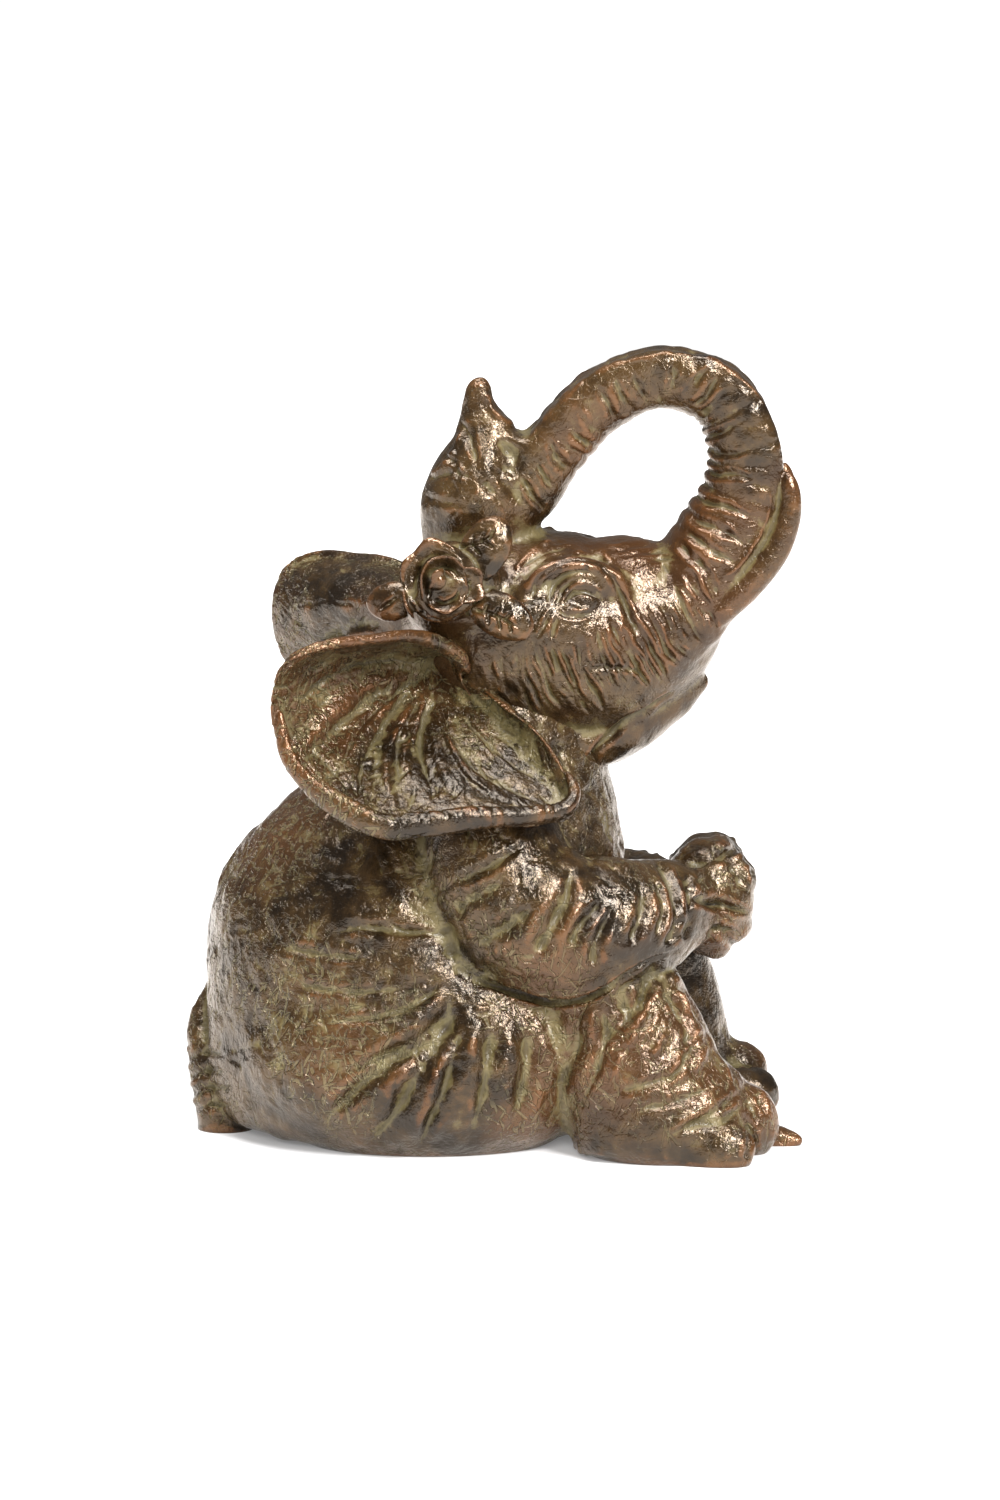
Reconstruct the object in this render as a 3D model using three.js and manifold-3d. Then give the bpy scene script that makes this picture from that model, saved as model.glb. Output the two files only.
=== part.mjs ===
// A seated elephant, cast in bronze as one piece: the trunk curls back over the brow, the ears are spread,
// a rose sits above the right ear, the forefeet meet in front of the chest and the hind legs are drawn up.
// Millimetres, +Z up, +X the way the elephant faces, +Y its left. The origin lies on the flat underside.

import * as THREE from "three";
import { ParametricGeometry } from "three/addons/geometries/ParametricGeometry.js";
import { mergeVertices } from "three/addons/utils/BufferGeometryUtils.js";
import Module from "manifold-3d";

// Driving dimensions. A spine is the middle line of a form, and a girth its half width and half depth there.

const right = -1;
const left = 1;
const sides = [right, left];

// The head leans towards the right shoulder, about a line through the neck.
const headLean = { degrees: 6.5, neckHeight: 62 };

const torso = {
  spine: [
    [-14, 0, -3.4], [-14.2, 0, 2], [-14.2, 0, 8], [-14, 0, 17], [-13.9, 0, 28], [-12.8, 0, 36],
    [-10.4, 0, 44], [-7.4, 0, 51], [-3, 0, 58], [0, 0, 66], [2, 0, 76],
  ],
  girth: [
    [23.5, 25.5], [28.6, 30], [30.6, 31.7], [31, 32], [29.8, 32], [27.6, 31.9],
    [24.8, 29.6], [22, 25.4], [18.5, 19.4], [15.5, 14.4], [12, 11],
  ],
  around: 22,
  along: 13,
};

// The belly rests between the thighs.
const belly = { centre: [7, 0, 24], radii: [13.5, 21.5, 17], around: 14, along: 8 };

// The haunch is a dome around the fold at the hip, where its skin creases all start.
const haunch = {
  centre: [-11, -14, 12],
  radii: [29.5, 19.8, 21],
  underReach: 17,
  hip: [-4.5, 25.7],
  innerDepth: 12,
  creaseFrom: 176,
  creaseTo: 314,
  creases: 7,
  creaseDepth: 1.6,
  around: 23,
  along: 10,
};

const shank = {
  spine: [
    [15.6, -16.6, 31], [19.4, -20, 24.5], [22.4, -21.8, 16],
    [24.2, -22.4, 8], [24.9, -22.6, 2], [25, -22.6, -6],
  ],
  girth: [[6, 8], [9.5, 11], [11.2, 12], [12.4, 12.9], [13, 15], [13, 15]],
  foldCount: 6,
  foldDepth: 1,
  around: 18,
  along: 8,
};

// Hind toes, outer to inner, as [x, y, z, length, width, height]. The inner right toe reaches furthest.
const hindToes = {
  heading: -24,
  toes: {
    [right]: [[33, -29.5, 0.8, 5.6, 4.2, 4.2], [36.6, -21, 2.6, 5, 4.6, 5.4], [39.6, -15, -0.4, 7.8, 3, 2.6]],
    [left]: [[33.6, -28, 1.6, 5.8, 4.6, 4.8], [38, -21, 2.8, 5.8, 5, 5.4], [40, -13.4, 0.8, 5.6, 4, 4.6]],
  },
  around: 8,
  along: 5,
};

const foreleg = {
  spine: [
    [-3, -13, 56], [-1.5, -21, 47], [2.5, -25, 37.5], [10, -25.2, 33.6], [18, -22.5, 34],
    [24.5, -17.8, 35.1], [29, -12.6, 35.8], [32.4, -9, 36],
  ],
  girth: [[8, 8], [10, 10.4], [10, 11.4], [9.6, 10.8], [9, 10], [7.6, 7.8], [6.4, 6.4], [5, 5]],
  leftDrop: 2.6,
  foldCount: 6,
  foldDepth: 0.8,
  around: 12,
  along: 15,
};

const forefoot = {
  centre: [33, -8.2, 36.4],
  leftShift: [0.9, 0, -1.6],
  radii: [5.6, 8.6, 8.8],
  nailAngles: [72, 20, -36, -78],
  nailReach: [3.7, 6.2],
  nailRadii: [2.9, 5.4, 3.5],
  nailAround: 7,
  nailAlong: 5,
  around: 10,
  along: 7,
};

const head = {
  spine: [
    [-15.5, 0, 75.5], [-5, 0, 76.5], [5, 0, 76.3], [14.5, 0, 75.8],
    [22.6, 0, 78.4], [29, 0, 83], [33, 0, 89],
  ],
  girth: [[14, 13], [16.4, 15], [17.4, 16.2], [15.6, 15.9], [12.6, 13], [9.8, 9.4], [7.4, 7]],
  wrinkleCount: 6,
  wrinkleDepth: 0.6,
  around: 18,
  along: 14,
};

const trunk = {
  spine: [
    [23, 0, 77.8], [29.8, 0, 83.6], [33.9, 0, 90.4], [37.2, 0, 97.6], [37.9, 0, 105.1], [34, 0, 113.6],
    [24.4, 0, 116.5], [15.4, 0, 112.9], [8.3, 0, 105.7], [3.8, 0, 99.2], [-1.4, 0, 95.6], [-6, 0, 95],
  ],
  girth: [
    [10.6, 10], [9.2, 8.6], [8, 7.6], [6.9, 6.7], [6.2, 6.1], [5.6, 5.4],
    [5.2, 5.1], [5, 5.3], [5.2, 5.4], [5.8, 5.6], [6.4, 5.6], [5.4, 4],
  ],
  squareness: 3.2,
  hollow: 0.22,
  ringDepth: 0.6,
  around: 12,
  along: 44,
};

// The trunk ends in a bell that stands on the brow and runs up into a finger, with a recess under its lip.
const trunkTip = {
  spine: [
    [-3, 0, 88], [-3.2, 0, 93.5], [-3.8, 0, 98.5], [-3.2, 0, 103.4],
    [-1.8, 0, 106.6], [-2.6, 0, 109.8], [-3.2, 0, 112.8], [-2.9, 0, 116.4],
  ],
  girth: [[9.4, 10], [9, 9.4], [8.4, 8.2], [7.2, 6.6], [5.6, 5.4], [3.8, 3.3], [2.6, 2.2], [1.9, 1.7]],
  around: 12,
  along: 14,
};
const tipRecess = { centre: [2.4, -6.4, 102.8], radii: [3.4, 3, 1.7], around: 10, along: 6 };

const jaw = {
  spine: [[0, 0, 68], [9, 0, 61.8], [17, 0, 61.2], [25, 0, 65.3], [30, 0, 68], [33, 0, 69.2]],
  girth: [[10, 8], [11.5, 6.4], [9.5, 5.2], [6.6, 3.8], [4.4, 2.8], [3, 1.8]],
  around: 12,
  along: 9,
};

const tusk = {
  spine: [
    [29.8, -6.6, 78.4], [34.8, -6.8, 82.2], [39.4, -6.4, 86.6],
    [42.8, -5.8, 91.4], [44.4, -5.2, 96.8], [44, -4.8, 102.6],
  ],
  girth: [[2.6, 2.6], [2.4, 2.4], [2.3, 2.3], [2.1, 2.1], [1.8, 1.8], [1.2, 1.2]],
  around: 8,
  along: 9,
};

const brow = {
  spine: [[2.5, -14.4, 84.6], [6.5, -13.4, 88.4], [12.5, -11.8, 89.2], [17.6, -11, 86.8], [20, -11, 82.6]],
  girth: [[1.2, 1.2], [1.7, 1.7], [1.9, 1.9], [1.6, 1.6], [1.1, 1.1]],
  around: 6,
  along: 8,
};

const eye = { centre: [12.2, -13.6, 84.6], radii: [3, 2, 2.1], around: 8, along: 6 };

const forehead = { centre: [18, 0, 83], radii: [12, 10.5, 8.8], around: 14, along: 8 };

// The swelling at the temple that the rose is pressed on.
const temple = { centre: [-6.5, -9.5, 84], radii: [8.5, 8, 7.5], around: 10, along: 6 };

// The ear hangs from its root. The rim runs from the front of its top round the back to the front tip.
const ear = {
  root: [-8.5, -9.5, 74.5],
  rim: [
    [-7.3, -17, 76.4], [-14.9, -24.6, 81], [-25.1, -31.4, 81.3], [-31.7, -32.6, 78.9], [-33.8, -32, 72.5],
    [-32.9, -33.6, 65.1], [-29.5, -36, 59.9], [-24.2, -38, 56.4], [-17.3, -40, 53.4], [-10.3, -39, 53.6],
    [-2.9, -37.6, 54.2], [5.9, -35, 54], [10.9, -32, 54.9], [9.9, -28.4, 59.8], [7.2, -25.6, 64.3],
    [2.3, -22.2, 68.2], [-4.5, -18.6, 70.6],
  ],
  facing: [-0.08, -0.97, -0.22],
  halfThickness: 1.9,
  flare: 1.3,
  foldFrom: 0.2,
  foldTo: 0.74,
  folds: 7,
  foldHeight: 1.6,
  rollFrom: 0.05,
  rollTo: 0.27,
  rollHeight: 2.6,
  leftShift: [-3.4, 0, 2.3],
  around: 36,
  along: 8,
};

const rose = {
  centre: [-9, -18.6, 87.6],
  facing: [-0.12, -0.95, 0.28],
  cupRadius: 5.8,
  cupDepth: 2.6,
  turns: 2.1,
  petalWall: 0.6,
  petalHeight: 1.9,
  innerRadius: 1.9,
  beadRadius: 1.35,
};

// Leaves as [x, y, z, direction in degrees, length, width].
const leaves = [
  [-2.2, -16.4, 92.4, 62, 5.4, 3.7],
  [0, -18.4, 82.8, -28, 5.6, 3.4],
  [-16, -19.4, 85, 188, 4, 3],
];
const leafThickness = 1.6;

const tail = {
  spine: [[-39, 4, 25], [-44, 3.2, 20], [-46.6, 1, 14], [-45, -2, 8], [-43.2, -4, 2], [-43, -5, -6]],
  girth: [[2.2, 2.2], [2.4, 2.4], [2.9, 3], [3.8, 4], [4.2, 4.4], [4, 4.2]],
  ribs: 5,
  ribDepth: 0.6,
  around: 8,
  along: 13,
};

// The underside lies this far below the level that the heights above are taken from.
const undersideDrop = 1.2;

const bronze = { color: 0x4a3a26, roughness: 0.38, metalness: 0.85 };

const wasm = await Module();
wasm.setup();

const fullTurn = 2 * Math.PI;
const radians = THREE.MathUtils.degToRad;
const vector = ([x, y, z]) => new THREE.Vector3(x, y, z);

// A place given for the right side, taken to either side of the elephant.
const onSide = (side, [x, y, z]) => [x, -side * y, z];

// A closed surface whose point function has one pole at along = 0 and one at along = 1.
function surface(point, around, along) {
  const wrapped = (u, v, target) => point(v <= 0 || v >= 1 || u >= 1 ? 0 : u, v, target);
  return new ParametricGeometry(wrapped, around, along);
}

// Rounds off both ends of a form that runs from 0 to 1, over the given share of its length.
function endRounding(t, share) {
  const fromEnd = Math.min(t, 1 - t);
  if (fromEnd >= share) return 1;
  return Math.sqrt(Math.max(0, 1 - (1 - fromEnd / share) ** 2));
}

const crowdEnds = (v) => v - (0.75 * Math.sin(fullTurn * v)) / fullTurn;

// A form along a spine with an elliptical section. Its first half axis lies across, towards +Y, and its
// second at a right angle to the spine, or along X where the sections are kept level.
// Relief gives the millimetres that the surface stands out at a share of the length, an angle and a row.
function loft(form, options = {}) {
  const { side = right, level = false, rounding = 0.12, section = roundSection, relief = () => 0 } = options;
  const line = new THREE.CatmullRomCurve3(form.spine.map((p) => vector(onSide(side, p))));
  const sizes = new THREE.CatmullRomCurve3(form.girth.map(([wide, deep]) => new THREE.Vector3(wide, deep, 0)));
  const across = new THREE.Vector3(0, 1, 0);
  return surface((u, v, target) => {
    const share = crowdEnds(v);
    const knot = line.getUtoTmapping(share);
    const forward = line.getTangent(knot);
    const wideWay = across.clone().addScaledVector(forward, -across.dot(forward)).normalize();
    const deepWay = level ? new THREE.Vector3(1, 0, 0) : new THREE.Vector3().crossVectors(forward, wideWay);
    const size = sizes.getPoint(knot);
    const swell = endRounding(share, rounding);
    const angle = fullTurn * u;
    const [wide, deep] = section(angle, share);
    const lift = relief(share, angle, v * form.along);
    target.copy(line.getPoint(knot));
    target.addScaledVector(wideWay, swell * (size.x + lift) * wide);
    target.addScaledVector(deepWay, swell * (size.y + lift) * deep);
  }, form.around, form.along);
}

function roundSection(angle) {
  return [Math.cos(angle), Math.sin(angle)];
}

function ellipsoid({ centre, radii, around, along }, side = right) {
  const [x, y, z] = onSide(side, centre);
  return new THREE.SphereGeometry(1, around, along).rotateX(Math.PI / 2).scale(...radii).translate(x, y, z);
}

// Joins coincident vertices and drops collapsed triangles, and returns the closed solid, faces outwards.
function solid(geometry) {
  const bare = new THREE.BufferGeometry().setIndex(geometry.index);
  bare.setAttribute("position", geometry.getAttribute("position"));
  const merged = mergeVertices(bare, 1e-4);
  const position = merged.getAttribute("position");
  const corners = [];
  let volume = 0;
  for (let i = 0; i < merged.index.count; i += 3) {
    const [a, b, c] = [0, 1, 2].map((k) => merged.index.getX(i + k));
    if (a === b || b === c || c === a) continue;
    corners.push([a, b, c]);
    const [p, q, r] = [a, b, c].map((k) => new THREE.Vector3().fromBufferAttribute(position, k));
    volume += p.dot(q.cross(r));
  }
  const faces = volume < 0 ? corners.map(([a, b, c]) => [a, c, b]) : corners;
  const mesh = new wasm.Mesh({
    numProp: 3,
    vertProperties: new Float32Array(position.array),
    triVerts: new Uint32Array(faces.flat()),
  });
  return new wasm.Manifold(mesh);
}

const joined = (geometries) => geometries.map(solid).reduce((whole, next) => whole.add(next));

function makeTorso() {
  return loft(torso, { level: true, rounding: 0.06 });
}

// An ellipsoid drawn from the hip fold outwards, so that every crease follows one of its meridians.
function makeHaunch(side) {
  const [cx, cy, cz] = haunch.centre;
  const [rx, ry, rz] = haunch.radii;
  const [hipX, hipZ] = haunch.hip;
  const creaseSpan = radians(haunch.creaseTo - haunch.creaseFrom);
  const creaseLines = 2 * haunch.creases;
  return surface((u, v, target) => {
    const line = u * haunch.around;
    const inCreases = line <= creaseLines;
    const rest = (line - creaseLines) / (haunch.around - creaseLines);
    const angle =
      radians(haunch.creaseFrom) +
      (inCreases ? (creaseSpan * line) / creaseLines : creaseSpan + rest * (fullTurn - creaseSpan));
    const reach = Math.sin(Math.PI * v);
    const rimX = cx + rx * Math.cos(angle);
    const rimZ = cz + (Math.sin(angle) > 0 ? rz : haunch.underReach) * Math.sin(angle);
    const x = hipX + reach * (rimX - hipX);
    const z = hipZ + reach * (rimZ - hipZ);
    const height = z > cz ? rz : haunch.underReach;
    const bulge = Math.sqrt(Math.max(0, 1 - ((x - cx) / rx) ** 2 - ((z - cz) / height) ** 2));
    const inCrease = inCreases ? 0.5 - 0.5 * Math.cos(Math.PI * line) : 0;
    const crease = haunch.creaseDepth * inCrease * Math.sin(Math.PI * Math.min(1, reach * 1.05));
    const outside = v < 0.5;
    const y = outside ? cy - ry * bulge + crease : cy + haunch.innerDepth * bulge;
    target.set(x, -side * y, z);
  }, haunch.around, haunch.along);
}

// The lower leg, hung with loose upright folds of skin.
function makeShank(side) {
  const relief = (share, angle) => shank.foldDepth * share * Math.cos(shank.foldCount * angle);
  return loft(shank, { side, rounding: 0.3, relief });
}

function makeHindToes(side) {
  return hindToes.toes[side].map(([x, y, z, length, width, height]) => {
    const toe = new THREE.SphereGeometry(1, hindToes.around, hindToes.along).rotateX(Math.PI / 2);
    toe.scale(length, width, height).rotateZ(radians(-side * hindToes.heading));
    return toe.translate(...onSide(side, [x, y, z]));
  });
}

function makeForeleg(side) {
  const fold = (share) => 0.5 - 0.5 * Math.cos(fullTurn * foreleg.foldCount * share);
  const relief = (share) => -foreleg.foldDepth * share * fold(share);
  const leg = loft(foreleg, { side, rounding: 0.08, relief });
  return leg.translate(0, 0, side === left ? -foreleg.leftDrop : 0);
}

// The raised forefoot faces forwards, with its nails round the edge of the sole.
function makeForefoot(side) {
  const [x, y, z] = forefoot.centre;
  const [reachX, reachZ] = forefoot.nailReach;
  const nails = forefoot.nailAngles.map((degrees) => {
    const turn = radians(degrees);
    const place = [x + reachX * Math.cos(turn), y, z + reachZ * Math.sin(turn)];
    const nail = new THREE.SphereGeometry(1, forefoot.nailAround, forefoot.nailAlong).rotateX(Math.PI / 2);
    nail.scale(...forefoot.nailRadii).rotateY(Math.PI / 2 - turn);
    return nail.translate(...onSide(side, place));
  });
  const forms = [ellipsoid(forefoot, side), ...nails];
  return side === left ? forms.map((form) => form.translate(...forefoot.leftShift)) : forms;
}

// Skull and face, with wrinkles that run round the cheeks.
function makeHead() {
  const relief = (share) => head.wrinkleDepth * share * Math.cos(fullTurn * head.wrinkleCount * share);
  return loft(head, { rounding: 0.26, relief });
}

// The trunk's underside, outermost in its curl, is a hollow band between two edges.
function trunkSection(angle) {
  const [wide, deep] = roundSection(angle);
  if (deep >= 0) return [wide, deep];
  const square = 2 / trunk.squareness;
  const across = Math.sign(wide) * Math.abs(wide) ** square;
  const hollow = trunk.hollow * Math.cos((Math.PI / 2) * across) ** 2;
  return [across, -((-deep) ** square) * (1 - hollow)];
}

function makeTrunk() {
  const ring = (row) => -trunk.ringDepth * (0.5 - 0.5 * Math.cos(Math.PI * row));
  const relief = (share, angle, row) => ring(row) * Math.max(0.2, Math.sin(angle));
  return loft(trunk, { rounding: 0.02, section: trunkSection, relief });
}

// A thick fan drawn from the ear's root to its rim, front face first and back face after it.
function makeEar(side) {
  const root = vector(onSide(side, ear.root));
  const rim = new THREE.CatmullRomCurve3(ear.rim.map((p) => vector(onSide(side, p))), true);
  const facing = vector(onSide(side, ear.facing)).normalize();
  const span = (u, from, to) => THREE.MathUtils.clamp((u - from) / (to - from), 0, 1);
  const fan = surface((u, v, target) => {
    const reach = Math.sin(Math.PI * v);
    const face = Math.cos(Math.PI * v);
    const edge = rim.getPoint(u);
    const fold = span(u, ear.foldFrom, ear.foldTo);
    const foldWave = Math.sin(Math.PI * fold) ** 0.5 * Math.cos(fullTurn * ear.folds * fold);
    const roll = Math.sin(Math.PI * span(u, ear.rollFrom, ear.rollTo)) * Math.max(0, (reach - 0.6) / 0.4) ** 2;
    const thickness = ear.halfThickness * Math.sign(face) * Math.abs(face) ** 0.6;
    const lift = ear.foldHeight * foldWave * reach * (1.15 - reach) * 1.6 + ear.rollHeight * roll + thickness;
    target.lerpVectors(root, edge, reach);
    target.y = THREE.MathUtils.lerp(root.y, edge.y, reach ** ear.flare);
    target.addScaledVector(facing, lift);
  }, ear.around, ear.along);
  return side === left ? fan.translate(...ear.leftShift) : fan;
}

// A petal wall wound in a spiral on a shallow cup, with a bead in the middle.
function makeRose() {
  const cup = new THREE.SphereGeometry(1, 12, 6).scale(rose.cupRadius, rose.cupDepth, rose.cupRadius);
  const bead = new THREE.SphereGeometry(rose.beadRadius, 8, 6).translate(0, rose.cupDepth, 0);
  const wall = surface((u, v, target) => {
    const angle = fullTurn * rose.turns * v;
    const swell = endRounding(v, 0.06);
    const radius = rose.innerRadius + (rose.cupRadius - rose.innerRadius) * v;
    const across = radius + swell * rose.petalWall * Math.cos(fullTurn * u);
    const drop = rose.cupDepth * (1 - Math.sqrt(Math.max(0, 1 - (radius / rose.cupRadius) ** 2 * 0.8)));
    const height = rose.cupDepth - drop + swell * rose.petalHeight * Math.sin(fullTurn * u);
    target.set(across * Math.cos(angle), height, across * Math.sin(angle));
  }, 6, 22);
  const facing = vector(rose.facing).normalize();
  const stand = new THREE.Quaternion().setFromUnitVectors(new THREE.Vector3(0, 1, 0), facing);
  return [cup, bead, wall].map((g) => g.applyQuaternion(stand).translate(...rose.centre));
}

// A leaf lies flat against the head, pointed at its far end, with a fold along its midrib.
function makeLeaf([x, y, z, degrees, length, width]) {
  const leaf = surface((u, v, target) => {
    const angle = fullTurn * u;
    const spread = Math.sin(Math.PI * v);
    const taper = 1 - 0.35 * Math.cos(angle);
    const along = length * spread * Math.cos(angle);
    const across = width * spread * Math.sin(angle) * taper;
    const fold = 0.22 * Math.abs(across);
    target.set(along, -leafThickness * Math.cos(Math.PI * v) - fold, across);
  }, 10, 5);
  return leaf.rotateY(-radians(degrees)).translate(x, y, z);
}

function makeTail() {
  const rib = (share) => Math.max(0, share - 0.4) * Math.cos(fullTurn * 2 * tail.ribs * share);
  const relief = (share) => tail.ribDepth * rib(share);
  return loft(tail, { rounding: 0.08, relief });
}

function makeHeadGroup() {
  const forms = [makeHead(), makeTrunk(), loft(trunkTip), loft(jaw, { rounding: 0.2 })];
  forms.push(ellipsoid(forehead), ellipsoid(temple));
  for (const side of sides) {
    forms.push(loft(tusk, { side, rounding: 0.1 }), loft(brow, { side, rounding: 0.2 }));
    forms.push(ellipsoid(eye, side), makeEar(side));
  }
  forms.push(...makeRose(), ...leaves.map(makeLeaf));
  const recesses = sides.map((side) => solid(ellipsoid(tipRecess, side)));
  const whole = recesses.reduce((rest, recess) => rest.subtract(recess), joined(forms));
  const { degrees, neckHeight } = headLean;
  return whole.translate([0, 0, -neckHeight]).rotate([degrees, 0, 0]).translate([0, 0, neckHeight]);
}

function makeBodyGroup() {
  const forms = [makeTorso(), ellipsoid(belly), makeTail()];
  for (const side of sides) {
    forms.push(makeHaunch(side), makeShank(side), ...makeHindToes(side));
    forms.push(makeForeleg(side), ...makeForefoot(side));
  }
  return joined(forms);
}

// Everything below the underside is cut away, so that the figure stands flat.
function makeElephant() {
  const depth = 20;
  const ground = solid(new THREE.BoxGeometry(200, 200, depth).translate(0, 0, -depth / 2));
  const cast = makeBodyGroup().add(makeHeadGroup()).translate([0, 0, undersideDrop]).subtract(ground);
  const { vertProperties, triVerts } = cast.getMesh();
  const geometry = new THREE.BufferGeometry();
  geometry.setAttribute("position", new THREE.BufferAttribute(vertProperties, 3));
  geometry.setIndex(new THREE.BufferAttribute(triVerts, 1));
  geometry.computeVertexNormals();
  const mesh = new THREE.Mesh(geometry, new THREE.MeshStandardMaterial(bronze));
  mesh.name = "bronze_elephant";
  return mesh;
}

const figure = new THREE.Group();
figure.add(makeElephant());

export default figure;
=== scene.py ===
import math
import bmesh
import bpy
import numpy as np
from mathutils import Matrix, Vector
from mathutils.kdtree import KDTree


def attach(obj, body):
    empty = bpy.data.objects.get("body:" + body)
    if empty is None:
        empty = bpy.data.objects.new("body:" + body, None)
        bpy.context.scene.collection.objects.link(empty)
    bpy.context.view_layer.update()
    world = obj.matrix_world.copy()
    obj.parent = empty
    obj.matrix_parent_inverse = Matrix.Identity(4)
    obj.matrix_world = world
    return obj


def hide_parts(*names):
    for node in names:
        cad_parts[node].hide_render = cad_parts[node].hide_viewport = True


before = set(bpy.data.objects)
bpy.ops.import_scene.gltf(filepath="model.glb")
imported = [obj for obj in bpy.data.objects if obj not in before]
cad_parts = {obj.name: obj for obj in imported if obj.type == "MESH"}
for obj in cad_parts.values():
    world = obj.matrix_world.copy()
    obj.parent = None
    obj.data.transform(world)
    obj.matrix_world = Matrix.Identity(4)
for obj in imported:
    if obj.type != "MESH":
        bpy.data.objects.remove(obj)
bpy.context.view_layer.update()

# The figure is modelled in millimetres and brought to metres at the end.
millimetre = 0.001
tiny = 1e-9
right, left = -1, 1
stand = {"lift": 1.2, "lean": 6.5, "neckHeight": 62.0}  # the head leans over the neck, in degrees
lens = {  # degrees down, pixels, distance and height of the aim, the middle pixel, then lens and film in mm
    "tilt": 6.0, "focal": 4000.0, "reach": 625.0, "height": 59.1, "middle": (500, 750),
    "length": 96, "film": 36,
}


def onSide(points, side):
    return np.array(points, float) * [1, -side, 1]


def lineThrough(points, closed=False):
    knots = np.array(points, float)
    count = len(knots)
    spans = count if closed else count - 1
    ring = np.arange(-1, spans + 2)
    if closed:
        full = knots[ring % count]
    else:
        full = np.vstack([2 * knots[0] - knots[1], knots, 2 * knots[-1] - knots[-2]])

    def stride(a, b):
        return np.maximum(np.sum((b - a) ** 2, axis=1), tiny)[:, None] ** 0.25

    def at(share):
        along = np.clip(share, 0, 1) * spans
        span = np.minimum(along.astype(int), spans - 1)
        w = (along - span)[:, None]
        a, b, c, d = (full[span + k] for k in range(4))
        s, t, u = stride(a, b), stride(b, c), stride(c, d)
        first = ((b - a) / s - (c - a) / (s + t) + (c - b) / t) * t
        last = ((c - b) / t - (d - b) / (t + u) + (d - c) / u) * t
        bend = 3 * (c - b) - 2 * first - last
        twist = 2 * (b - c) + first + last
        return b + first * w + bend * w ** 2 + twist * w ** 3

    return at


# The knots of a line that lie at even shares of its length.
def evenly(line, share, steps=801):
    dense = np.linspace(0, 1, steps)
    strides = np.linalg.norm(np.diff(line(dense), axis=0), axis=1)
    length = np.concatenate([[0], np.cumsum(strides)])
    return np.interp(share, length / length[-1], dense)


# A rounded form along a spine, with half its width and depth at each point of the spine.
def loft(form, side=right):
    line = lineThrough(onSide(form["spine"], side))
    girth = lineThrough([list(g) + [0] for g in form["girth"]])
    nudge = 0.004

    def place(share, angle):
        even = 0.25 * (1 - np.cos(np.pi * share)) + 0.5 * share  # closer rows at the two ends
        knot = evenly(line, even)
        centre = line(knot)
        size = girth(knot)
        ahead = line(np.minimum(knot + nudge, 1)) - line(np.maximum(knot - nudge, 0))
        ahead /= np.linalg.norm(ahead, axis=1)[:, None]
        across = np.tile([0.0, 1.0, 0.0], (len(share), 1))
        if form.get("level"):
            deepWay = np.tile([1.0, 0.0, 0.0], (len(share), 1))
        else:
            across -= ahead * np.sum(across * ahead, axis=1)[:, None]
            across /= np.linalg.norm(across, axis=1)[:, None]
            deepWay = np.cross(ahead, across)
        tip = np.minimum(np.minimum(even, 1 - even) / form["rounding"], 1)
        taper = np.sqrt(np.clip(1 - (1 - tip) ** 2, 0, 1))
        wide, deep = np.cos(angle), np.sin(angle)
        if "squareness" in form:  # the trunk's outer side is a hollow band between two edges
            power = 2 / form["squareness"]
            under = deep < 0
            square = np.sign(wide) * np.abs(wide) ** power
            dip = 1 - form["hollow"] * np.cos(np.pi / 2 * square) ** 2
            deep = np.where(under, -(np.abs(deep) ** power) * dip, deep)
            wide = np.where(under, square, wide)
        return (centre + across * (wide * size[:, 0] * taper)[:, None]
                + deepWay * (deep * size[:, 1] * taper)[:, None])

    return place


def ball(centre, radii, side=right, heading=0.0, tilt=0.0):
    middle = onSide(centre, side)

    def place(share, angle):
        polar = np.pi * share
        out = np.sin(polar)
        spot = np.stack([out * np.cos(angle), out * np.sin(angle), -np.cos(polar)], axis=1) * radii
        lean = math.radians(tilt)
        x = spot[:, 0] * math.cos(lean) + spot[:, 2] * math.sin(lean)
        z = spot[:, 2] * math.cos(lean) - spot[:, 0] * math.sin(lean)
        turn = math.radians(heading) * -side
        y = spot[:, 1] * math.cos(turn) + x * math.sin(turn)
        x = x * math.cos(turn) - spot[:, 1] * math.sin(turn)
        return middle + np.stack([x, y, z], axis=1)

    return place


def putBack(shape, mesh):
    bmesh.ops.recalc_face_normals(shape, faces=shape.faces)
    shape.to_mesh(mesh)
    shape.free()
    return mesh


# A ball whose points are moved by a form, with so many faces around and along it.
def cast(place, around=48, along=64):
    shape = bmesh.new()
    bmesh.ops.create_uvsphere(shape, u_segments=around, v_segments=along, radius=1)
    spots = np.array([v.co[:] for v in shape.verts])
    share = np.arccos(np.clip(-spots[:, 2], -1, 1)) / np.pi
    moved = place(share, np.arctan2(spots[:, 1], spots[:, 0]))
    for vert, spot in zip(shape.verts, moved):
        vert.co = spot
    return putBack(shape, bpy.data.meshes.new("form"))


def castLoft(form, side=right):
    return cast(loft(form, side), *form.get("mesh", ()))


def castBall(form, side=right):
    return cast(ball(form["centre"], form["radii"], side), *form.get("mesh", ()))


def gather(name, meshes):
    whole = bmesh.new()
    for mesh in meshes:
        whole.from_mesh(mesh)
        bpy.data.meshes.remove(mesh)
    mesh = bpy.data.meshes.new(name)
    whole.to_mesh(mesh)
    whole.free()
    thing = bpy.data.objects.new(name, mesh)
    bpy.context.scene.collection.objects.link(thing)
    return thing


def settle(thing):
    graph = bpy.context.evaluated_depsgraph_get()
    done = bpy.data.meshes.new_from_object(thing.evaluated_get(graph))
    old = thing.data
    thing.modifiers.clear()
    thing.data = done
    bpy.data.meshes.remove(old)


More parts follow.
